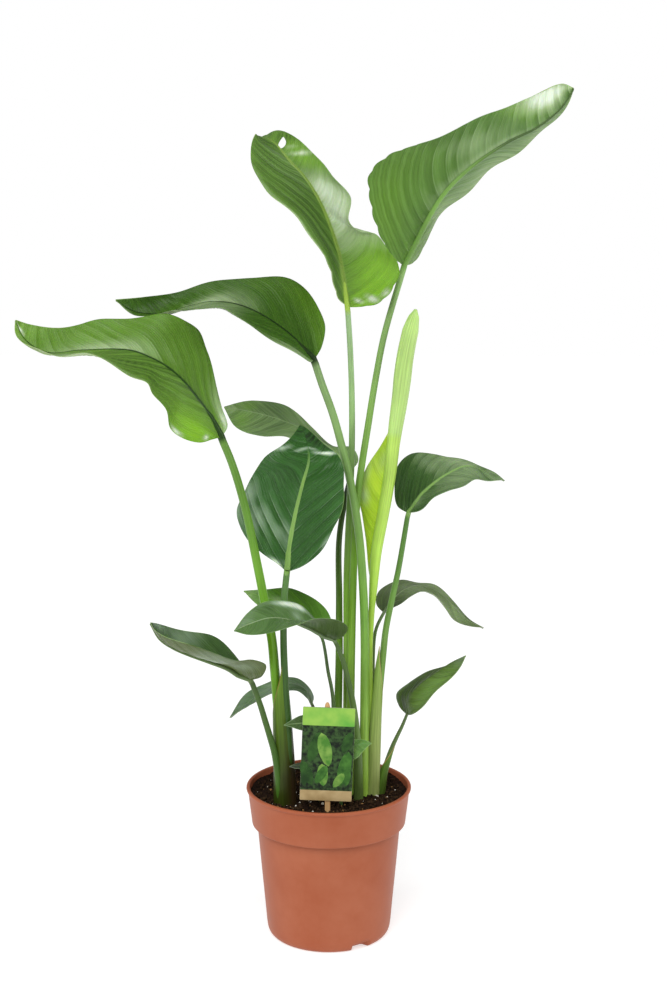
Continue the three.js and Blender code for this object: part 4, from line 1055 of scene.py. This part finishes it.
def make_label():
    """The card with its printed fields and leaves, each a thin layer of ink, and the stick behind it."""
    x, z = CARD_HALF
    front, back = CARD_CENTRE[1] - CARD_THICKNESS / 2, CARD_CENTRE[1] + CARD_THICKNESS / 2
    flat_piece("label_card_stock", on_card(rounded(-x, -z, x, z, CARD_CORNER)), front, back,
        print_material("coated_card_stock", 0x9A9A88, 0xB4B4A0, 60.0), replaces="label_card", slot="card")
    x -= PRINT_INSET
    corner = CARD_CORNER - PRINT_INSET
    for name, (low, high, deep, light, scale, height) in CARD_FIELDS.items():
        flat_piece(f"label_{name}", on_card(rounded(-x, low, x, high, corner)), front - height,
            front + PRINT_FOOT, print_material(f"offset_print_{name}", deep, light, scale), slot="card")
    inks = [print_material(f"offset_print_paddle_{i + 1}", *pair, 120.0)
        for i, pair in enumerate(PADDLE_INKS)]
    for i, (x, z, angle, length, width) in enumerate(CARD_PADDLES):
        flat_piece(f"label_paddle_{i + 1}", on_card(turned_points(paddle_shape(length, width), angle, x, z)),
            front - PADDLE_HEIGHT - PADDLE_RISE * i, front - PADDLE_FOOT, inks[i % len(inks)], slot="card")
    low, high = STICK_X - STICK_HALF_WIDTH, STICK_X + STICK_HALF_WIDTH
    crown = arc(STICK_X, STICK_SHOULDER, STICK_HALF_WIDTH, STICK_CROWN, np.linspace(0.1, math.pi - 0.1, 12))
    outline = [(low, STICK_FOOT), (high, STICK_FOOT), (high, STICK_SHOULDER), *crown, (low, STICK_SHOULDER)]
    front, back = (CARD_CENTRE[1] + depth for depth in STICK_BEHIND)
    flat_piece("label_stick_wood", outline, front, back, wood_material(), replaces="label_stick",
        slot="stick")


# Camera, lamps and floor, in metres and degrees, and the lens in mm
CAMERA_PLACE = (0.0055, -1.8, 0.822)
CAMERA_DOWN = 9.85
SENSOR_WIDTH = 36
FOCAL_LENGTH = 58.68
AMBIENT = 0.26
OVERHEAD = 2.0
OVERHEAD_SPREAD = 40
OVERHEAD_TILT = 42
OVERHEAD_TURN = -10
BOX_SIZE = (0.5, 1.8)
BOX_AIM = (-0.03, 0, 0.6)
BOXES = {"left_box": ((-1.5, -0.5, 1.15), 9), "right_box": ((1.5, -0.3, 1.25), 11)}
FLOOR_GLOW = 0.6
FLOOR_HALF = 8


def make_camera():
    """The photograph's own view: from 1.8 m, looking a little down."""
    camera = new_object("camera", bpy.data.cameras.new("camera"))
    camera.location = CAMERA_PLACE
    camera.rotation_euler = (math.radians(90 - CAMERA_DOWN), 0, 0)
    camera.data.sensor_width = SENSOR_WIDTH
    camera.data.lens = FOCAL_LENGTH
    bpy.context.scene.camera = camera


def soft_box(name, place, power):
    light = new_object(name, bpy.data.lights.new(name, "AREA"))
    light.data.shape = "RECTANGLE"
    light.data.size, light.data.size_y = BOX_SIZE
    light.data.energy = power
    light.location = place
    light.rotation_euler = (Vector(BOX_AIM) - Vector(place)).to_track_quat("-Z", "Y").to_euler()


def make_studio():
    """A white studio: even light all round, a large lamp overhead in front and a soft box at each side."""
    world = bpy.data.worlds.new("studio")
    bpy.context.scene.world = world
    world.use_nodes = True
    tree = world.node_tree
    seen = add(tree, "LightPath").outputs["Is Camera Ray"]
    strength = add(tree, "MapRange", {"Value": seen, "To Min": AMBIENT, "To Max": 1.0})
    feed(tree, tree.nodes["Background"], {"Color": (1, 1, 1, 1), "Strength": strength})
    bpy.context.scene.view_settings.view_transform = "Standard"
    overhead = new_object("overhead", bpy.data.lights.new("overhead", "SUN"))
    overhead.data.energy = OVERHEAD
    overhead.data.angle = math.radians(OVERHEAD_SPREAD)
    overhead.rotation_euler = (math.radians(OVERHEAD_TILT), 0, math.radians(OVERHEAD_TURN))
    for name, (place, power) in BOXES.items():
        soft_box(name, place, power)
    mesh = bpy.data.meshes.new("studio_floor")
    corners = [(-FLOOR_HALF, -FLOOR_HALF), (FLOOR_HALF, -FLOOR_HALF), (FLOOR_HALF, FLOOR_HALF),
        (-FLOOR_HALF, FLOOR_HALF)]
    mesh.from_pydata([(x, y, 0) for x, y in corners], [], [(0, 1, 2, 3)])
    material, _, _ = new_material("matt_white_floor", Base_Color=(0.6, 0.6, 0.6, 1), Roughness=0.9,
        Specular_IOR_Level=0, Emission_Color=(1, 1, 1, 1), Emission_Strength=FLOOR_GLOW)
    mesh.materials.append(material)
    new_object("studio_floor", mesh)


# Each leaf's finish: two greens of the upper face, midrib and its half width in mm, margin, roughness, then
# two greens of the underside and the record's slot
LEAF_LOOKS = {
    "leaf_upper_right": (0x345E1A, 0x62943C, 0x7EA850, 1.2, 0x8FAA5C, 0.36, 0x46692A, 0x628644, "leaf"),
    "leaf_top": (0x4B6A2C, 0x648A3A, 0x7E9C44, 2.6, 0xA9BE84, 0.34, 0x5A7A3E, 0x7A9A5C, "leaf"),
    # leaf_high_left's and leaf_far_left's near-black midribs are painted shade in the groove over the midrib
    "leaf_high_left": (0x2C5010, 0x4A7020, 0x18300C, 1.8, 0x6E9048, 0.36, 0x566E3C, 0x748A58, "leaf"),
    "leaf_far_left": (0x537726, 0x6B9638, 0x20400C, 2.2, 0x9AB070, 0.36, 0x64803C, 0x86A05A, "leaf_bright"),
    "leaf_behind_left": (0x627E4E, 0x88A66A, 0x94B07A, 1.2, 0x9CAC8A, 0.42, 0x5A6E48, 0x7C8E68, "leaf"),
    "leaf_dark_front": (0x234A18, 0x407034, 0x7CA252, 2.0, 0x6E8C50, 0.27, 0x4A6240, 0x6C8460, "leaf_dark"),
    "leaf_right": (0x2C5020, 0x4E6C3A, 0x86AA60, 2.6, 0x8CA07A, 0.3, 0x4F6446, 0x74886A, "leaf"),
    "leaf_lower_right": (0x44562E, 0x708258, 0x90A478, 1.2, 0xA8B09C, 0.4, 0x566648, 0x7A8A68, "leaf"),
    "leaf_mid_back": (0x467A1C, 0x689A34, 0x84A460, 1.0, 0x7C9C58, 0.38, 0x506A38, 0x708A54, "leaf"),
    "leaf_mid_front": (0x40602E, 0x62824C, 0x94A880, 1.2, 0x7E9868, 0.28, 0x324A1A, 0x546A3A, "leaf_dark"),
    "leaf_low_left": (0x2C4A1A, 0x4E6A3A, 0x8AA474, 1.2, 0x86A068, 0.34, 0x3E5420, 0x5E6C3C, "leaf_dark"),
    "leaf_low_behind": (0x4C6A3E, 0x708E66, 0x8AA27A, 1.1, 0x96A488, 0.4, 0x566648, 0x7A8A68, "leaf_dark"),
    "leaf_small_left": (0x38502E, 0x56703E, 0x86A070, 0.8, 0x78906A, 0.36, 0x4F6446, 0x74886A, "leaf_dark"),
    "leaf_outer_right": (0x304220, 0x5C743A, 0x4E6234, 0.8, 0x8CA070, 0.32, 0x4A6238, 0x708858, "leaf_dark"),
    "leaf_small_right": (0x40702C, 0x78A058, 0x6E9858, 0.7, 0x86A668, 0.34, 0x4A6A3A, 0x6C8A58, "leaf_dark"),
    "leaf_tiny_left": (0x2C3428, 0x444E3C, 0x5C684E, 0.7, 0x646E58, 0.38, 0x3E4A36, 0x5C684E, "leaf_dark"),
}

# Under a blade the stalk's own piece is the midrib, so the blade's is only this wide in mm. The underside is
# duller by so much.
UNDER_RIB = 0.1
UNDER_ROUGHER = 0.06

# How pale the raised veins are where they are strong, partly a painted highlight, and how deep the painted
# shade beside them is
RIDGES = {"leaf_upper_right": 0.28, "leaf_dark_front": 0.4, "leaf_far_left": 0.22, "leaf_behind_left": 0.2,
    "leaf_top": 0.12, "leaf_high_left": 0.12, "leaf_right": 0.16}
# How strong the fine lines are where they stand out
LINES = {"leaf_top": 0.25, "leaf_upper_right": 0.12, "leaf_high_left": 0.12, "leaf_behind_left": 0.3}
# How far up the blade the midrib shows, where it fades early
RIB_REACH = {"leaf_dark_front": 0.66, "leaf_top": 0.85, "leaf_upper_right": 0.55, "leaf_right": 0.75}
# The midrib's green beyond that, where it isn't the blade's own: leaf_upper_right's darker one is painted
# shade in the narrowing groove
RIB_TIPS = {"leaf_upper_right": 0x46602E}

# The young leaf: finish of its blade, and its stalk's greens with the one at its tip
YOUNG_BLADE = (0x86AE1E, 0xC0E03C, 0xA8C468, 1.2, 0xC6D690, 0.3)
YOUNG_GREENS = (0x7E9A38, 0xA4CC46, 0xB8DC66, 0xB4D67C, 0xC0DC90)

# Each stalk's greens: at the soil, half way up, at the blade and along the midrib
STALK_GREENS = {
    "leaf_upper_right": (0x88AE3C, 0x6E9C2E, 0x86A866, 0x729A4A),
    "leaf_top": (0x88A848, 0x78A43A, 0x94B480, 0x9CBC48),
    # The near-black midrib greens of leaf_high_left and leaf_far_left are painted shade in the groove, as
    # are the dark neck of leaf_behind_left, which stands in shade at the back, and the olive-black foot of
    # leaf_dark_front, whose right side lies in shade
    "leaf_high_left": (0x94B646, 0x74A442, 0x7E9C64, 0x20380E),
    "leaf_far_left": (0x5A8018, 0x6EA422, 0x648E3C, 0x24440E),
    "leaf_behind_left": (0x6A9430, 0x5A8026, 0x1C3010, 0x5A7844),
    "leaf_dark_front": (0x262C10, 0x34581C, 0x5A7E44, 0x7CA252),
    "leaf_right": (0x86985E, 0x78A04A, 0x58803E, 0x7EA458),
    "leaf_lower_right": (0x6A8440, 0x728434, 0x5A763E, 0x6E8458),
    "leaf_mid_back": (0x566E40, 0x566E40, 0x5E784A, 0x5C7C40),
    "leaf_mid_front": (0x4A5628, 0x5E7C3C, 0x4C6434, 0x6A8056),
    "leaf_low_left": (0x4A7A26, 0x3C5E1C, 0x4A6430, 0x6C8450),
    "leaf_low_behind": (0x4A6030, 0x4A5C34, 0x3A4630, 0x6C8058),
    "leaf_small_left": (0x44603A, 0x44603A, 0x465238, 0x607850),
    "leaf_outer_right": (0x36401A, 0x648044, 0x54683E, 0x4E6234),
    "leaf_small_right": (0x5C7C44, 0x5C7C44, 0x44703A, 0x6E9858),
    "leaf_tiny_left": (0x3C4A30, 0x3C4A30, 0x3A4630, 0x5C684E),
}

# Soft patches of each blade. Left (-1), right (1) or both sides (0), how far along and how far out they lie,
# their reach both ways, then painted sheen (above 1 a painted white highlight, negative for painted shade,
# which lies in the furrows) and fresh green
PATCHES = {
    "leaf_upper_right": [
        (1, 0.0, 0.1, 0.1, 0.2, 0.4, 0.3), (-1, 0.0, 0.2, 0.16, 0.5, 0.2, 0.6),
        (-1, 0.5, 1.0, 0.6, 0.4, 0.55, 0), (1, 0.57, 0.4, 0.12, 0.4, 0.45, 0),
        (1, 0.5, 0.0, 0.3, 0.1, 0.45, 0), (1, 0.3, 0.25, 0.06, 0.3, 0.2, 0),
        (1, 0.83, 0.8, 0.07, 0.5, 0.3, 0.5), (1, 0.895, 0.72, 0.07, 0.42, 2.1, 0),
        (1, 0.22, 0.75, 0.25, 0.5, -0.5, 0.3), (1, 0.98, 0.9, 0.02, 0.4, 0.4, 0.7),
    ],
    "leaf_top": [
        (1, 0.14, 0.7, 0.2, 0.55, -0.2, 0.9), (1, 0.06, 0.6, 0.014, 0.2, 1.6, 0),
        (1, 0.1, 0.8, 0.016, 0.2, 1.6, 0), (1, 0.31, 0.1, 0.07, 0.4, 0.5, 0),
        (1, 0.43, 0.5, 0.1, 0.8, 1.3, 0), (1, 0.55, 0.4, 0.07, 0.6, 1.1, 0),
        (-1, 0.35, 0.97, 0.3, 0.1, 0.9, 0.2), (-1, 0.45, 0.45, 0.4, 0.45, -0.6, 0),
        (1, 0.72, 0.6, 0.1, 0.5, 0, 0.5), (-1, 0.0, 0.1, 0.12, 0.3, 0.1, 0.6),
        (1, 0.735, 0.6, 0.012, 0.35, 1.3, 0), (1, 0.83, 0.75, 0.04, 0.4, -0.6, 0),
        (1, 0.775, 0.5, 0.012, 0.3, 0.5, 0), (-1, 0.84, 0.4, 0.1, 0.5, -0.3, 0),
        (1, 0.145, 0.93, 0.02, 0.07, 1.6, 0), (-1, 0.6, 0.5, 0.15, 0.3, 0.2, 0),
    ],
    "leaf_high_left": [
        (-1, 0.15, 1.0, 0.14, 0.45, 0.75, 0), (-1, 0.55, 0.3, 0.2, 0.8, 0.5, 0),
        (-1, 0.27, 0.45, 0.14, 0.4, -0.4, 0), (1, 0.56, 0.05, 0.1, 0.45, 0.85, 0),
        (1, 0.42, 0.0, 0.1, 0.3, 0.35, 0), (1, 0.2, 0.95, 0.2, 0.3, 0, 0.3),
        (0, 0.82, 0.3, 0.08, 0.6, -0.35, 0), (0, 0.0, 0.2, 0.06, 0.4, -0.2, 0),
        (-1, 0.96, 0.9, 0.06, 0.5, 0.5, 0), (1, 0.15, 0.4, 0.15, 0.4, -0.2, 0),
    ],
    "leaf_far_left": [
        (1, 0.0, 0.5, 0.06, 0.8, 0.3, 0.6), (1, 0.1, 0.95, 0.09, 0.35, 0.8, 0.2),
        (0, 0.22, 0.0, 0.2, 0.18, -0.5, 0), (-1, 0.14, 0.75, 0.1, 0.4, 0, 0.9),
        (1, 0.56, 0.0, 0.2, 0.3, 0.9, 0), (-1, 0.45, 0.45, 0.2, 0.5, -0.5, 0),
        (-1, 0.66, 0.75, 0.09, 0.5, 0.9, 0), (-1, 0.84, 0.5, 0.1, 0.4, 0.4, 0),
        (0, 0.94, 0.5, 0.05, 0.8, 0.1, 0.4), (-1, 0.092, 0.84, 0.012, 0.1, 1.7, 0),
        (1, 0.96, 0.1, 0.03, 0.12, 1.7, 0), (1, 0.75, 0.5, 0.15, 0.5, 0.1, 0.1),
        (-1, 0.5, 0.97, 0.15, 0.15, 0.6, 0), (1, 0.078, 0.77, 0.03, 0.2, 0.6, 0),
        (-1, 0.2, 0.95, 0.025, 0.05, 1.7, 0),
    ],
    "leaf_behind_left": [
        (0, 0.65, 0.45, 0.25, 0.5, -0.3, 0), (-1, 0.45, 0.8, 0.12, 0.5, 0.5, 0),
        (1, 0.3, 0.5, 0.07, 0.6, -0.6, 0), (1, 0.5, 0.7, 0.07, 0.4, 0.35, 0),
        (0, 0.84, 0.5, 0.06, 0.6, 0, 0.35), (0, 0.97, 0.4, 0.08, 0.7, 0.5, 0.1),
    ],
    "leaf_dark_front": [
        (-1, 0.07, 0.9, 0.04, 0.15, 1.7, 0), (-1, 0.36, 0.65, 0.07, 0.25, 0.6, 0),
        (-1, 0.48, 0.98, 0.1, 0.2, 0.75, 0), (-1, 0.26, 0.3, 0.06, 0.22, 0.5, 0),
        (-1, 0.2, 0.08, 0.06, 0.14, 0.4, 0), (1, 0.728, 0.65, 0.014, 0.4, 2.0, 0),
        (-1, 0.8, 0.85, 0.025, 0.25, 1.1, 0), (1, 0.24, 1.0, 0.05, 0.08, 0.8, 0),
        (1, 0.02, 1.0, 0.04, 0.15, 0.8, 0), (1, 0.88, 0.5, 0.08, 0.8, -0.9, 0),
        (0, 0.76, 0.15, 0.014, 0.25, 1.0, 0), (-1, 0.94, 0.4, 0.06, 0.5, -0.5, 0),
        (-1, 0.6, 0.4, 0.1, 0.4, -0.3, 0), (1, 0.4, 0.5, 0.3, 0.4, -0.12, 0),
        (-1, 0.05, 0.3, 0.04, 0.3, 0.3, 0),
    ],
    "leaf_right": [
        (-1, 0.15, 0.35, 0.16, 0.8, -0.55, 0), (-1, 0.44, 0.4, 0.06, 0.5, 0.2, 0),
        (-1, 0.66, 0.5, 0.18, 0.9, 0.65, 0), (1, 0.14, 0.2, 0.06, 0.3, 0.25, 0),
        (1, 0.6, 0.4, 0.3, 0.8, 0.4, 0), (0, 0.95, 0.5, 0.08, 0.8, 0.3, 0),
    ],
    "leaf_lower_right": [
        (0, 0.04, 0.4, 0.1, 0.8, -0.3, 0), (0, 0.3, 0.3, 0.1, 0.5, 0.3, 0),
        (0, 0.55, 0.9, 0.16, 0.4, 0.4, 0), (0, 0.75, 0.3, 0.12, 0.6, 0.2, 0.1),
    ],
    "leaf_mid_back": [
        (1, 0.62, 0.1, 0.08, 0.3, 0.5, 0), (0, 0.5, 0.5, 0.14, 0.6, 0, 0.15),
        (0, 0.92, 0.6, 0.12, 0.6, 0.45, 0), (-1, 0.16, 0.9, 0.1, 0.4, 0.5, 0),
    ],
    "leaf_mid_front": [
        (1, 0.46, 0.86, 0.17, 0.13, 2.3, 0), (1, 0.42, 0.35, 0.05, 0.25, 0.5, 0),
        (1, 0.66, 0.7, 0.05, 0.3, -0.5, 0), (1, 0.3, 0.8, 0.05, 0.2, -0.6, 0),
        (-1, 0.36, 0.1, 0.1, 0.3, 0.15, 0), (-1, 0.12, 0.5, 0.12, 0.5, -0.4, 0),
        (-1, 0.8, 0.4, 0.12, 0.4, -0.1, 0), (1, 0.9, 0.5, 0.08, 0.6, 0.3, 0),
    ],
    "leaf_low_left": [
        (-1, 0.42, 0.2, 0.05, 0.4, 0.7, 0), (-1, 0.5, 0.5, 0.1, 0.6, 0.35, 0),
        (-1, 0.28, 0.5, 0.06, 0.3, 0.3, 0), (1, 0.66, 0.7, 0.12, 0.5, 0.4, 0),
        (1, 0.9, 0.9, 0.1, 0.4, 0.6, 0), (1, 0.28, 0.6, 0.12, 0.6, -0.15, 0),
        (-1, 0.04, 0.3, 0.1, 0.6, -0.15, 0),
    ],
    "leaf_low_behind": [
        (1, 0.2, 0.2, 0.08, 0.4, -0.15, 0), (0, 0.52, 0.4, 0.12, 0.6, 0.35, 0),
        (1, 0.1, 0.9, 0.1, 0.4, 0.7, 0), (0, 0.85, 0.6, 0.1, 0.6, 0.35, 0),
    ],
    "leaf_outer_right": [
        (-1, 0.3, 0.4, 0.4, 0.5, -0.55, 0), (-1, 0.35, 1.0, 0.2, 0.15, 0.5, 0),
        (1, 0.5, 0.6, 0.35, 0.5, 0.1, 0.35), (0, 0.92, 0.4, 0.08, 0.7, 0.25, 0),
        (1, 0.1, 0.0, 0.2, 0.2, -0.4, 0),
    ],
    "leaf_furled": [
        (0, 0.02, 0.7, 0.06, 0.4, 0.6, 0), (1, 0.52, 0.75, 0.05, 0.2, 0.7, 0),
        (1, 0.62, 0.95, 0.08, 0.2, 0.6, 0), (1, 0.75, 0.3, 0.08, 0.4, 0.4, 0),
    ],
}

# Sheaths: path up the stalks, radius by share of the way, drop of the far side, facing of the point, then
# greens at the soil and higher up, the hem, and how far it darkens low down on the right, partly browning
# and partly painted shade
SHEATHS = {
    "sheath_left_shoot": (
        [(-49.5, -31, 150), (-50, -32, 200), (-52, -35, 260), (-54, -38, 310), (-55.5, -40, 350)],
        [(0, 13.4), (0.25, 12.6), (0.6, 10.6), (0.82, 8.6), (1, 7)],
        0.5, 0.8, 0x303C0C, 0x6E962C, 0x8C7838, 0.95),
    "sheath_right_leaf": (
        [(50, -1, 150), (52, -2, 200), (55, -1, 270), (60.5, 1, 345)],
        [(0, 8), (0.4, 7), (0.8, 5.6), (1, 4.6)],
        0.45, -0.6, 0x94A45C, 0x86A850, 0xB89A70, 0.1),
    "sheath_outer_right": (
        [(57.5, 3, 150), (62.5, 4, 185), (69, 5, 208), (75, 6, 224)],
        [(0, 7), (0.4, 5.8), (0.8, 4), (1, 3)],
        0.5, 0.9, 0x46601E, 0x5E862C, 0xA88A58, 0.3),
}

# Loose grains: how many, smallest and largest in mm, how flat they get, then their finish
GRAINS = {
    "soil_crumbs": (1700, 1.4, 6.4, 0.45, "peat_crumbs", 0x120904, 0x42301F, 260.0, 0.95),
    "soil_perlite": (75, 1.4, 4.8, 0.6, "perlite_grains", 0xB8B0A0, 0xF0ECE2, 500.0, 0.9),
    "soil_chips": (60, 2, 6.5, 0.25, "bark_chips", 0x5E4226, 0xA88050, 300.0, 0.85),
}


def make_plant():
    """The leaves, each a blade and its stalk, then the rolled young leaf with its flap, and the sheaths."""
    for name, (*look, deep, light, slot) in LEAF_LOOKS.items():
        leaf = LEAVES[name]
        rib, _, margin, roughness = look[2:]
        rib_reach = RIB_REACH.get(name, 1.0)
        shared = dict(ridges=RIDGES.get(name, FAINT_RIDGES), lines=LINES.get(name, FAINT_LINES),
            painted_sheen_hex=COOL_PAINTED_SHEEN if slot == "leaf_dark" else PAINTED_SHEEN)
        upper = leaf_material(f"{name}_cuticle_upper", *look, rib_reach=rib_reach, **shared)
        under = leaf_material(f"{name}_cuticle_under", deep, light, rib, UNDER_RIB, margin,
            roughness + UNDER_ROUGHER, underside=True, **shared)
        blade_piece(f"{name}_blade", leaf, leaf["stalk"][-1], [upper, under, upper], PATCHES.get(name, ()),
            replaces=name, slot=slot)
        rind = stalk_material(f"{name}_stalk_rind", *STALK_GREENS[name], RIB_TIPS.get(name, look[1]),
            rib_reach)
        stalk_piece(f"{name}_stalk", leaf, rind, slot)
    furled_piece(stalk_material("furled_leaf_rind", *YOUNG_GREENS, fineness=44.0))
    cuticle = leaf_material("furled_leaf_cuticle", *YOUNG_BLADE)
    blade_piece("leaf_furled_flap", FURLED, FURLED["base"], [cuticle] * 3, PATCHES["leaf_furled"],
        slot="leaf_young")
    for name, (path, radii, drop, facing, *look) in SHEATHS.items():
        sheath_piece(name, path, radii, drop, facing, sheath_material(f"{name}_rind", *look))


make_camera()
make_studio()
rng = np.random.default_rng(7)
pot_piece(pot_material())
soil_piece(crumb_material("peat_potting_mix", 0x0E0704, 0x2E1C12, 300.0, 0.95), rng)
for name, (count, low, high, squeeze, *finish) in GRAINS.items():
    grains_piece(name, count, low, high, squeeze, crumb_material(*finish), rng)
make_label()
make_plant()
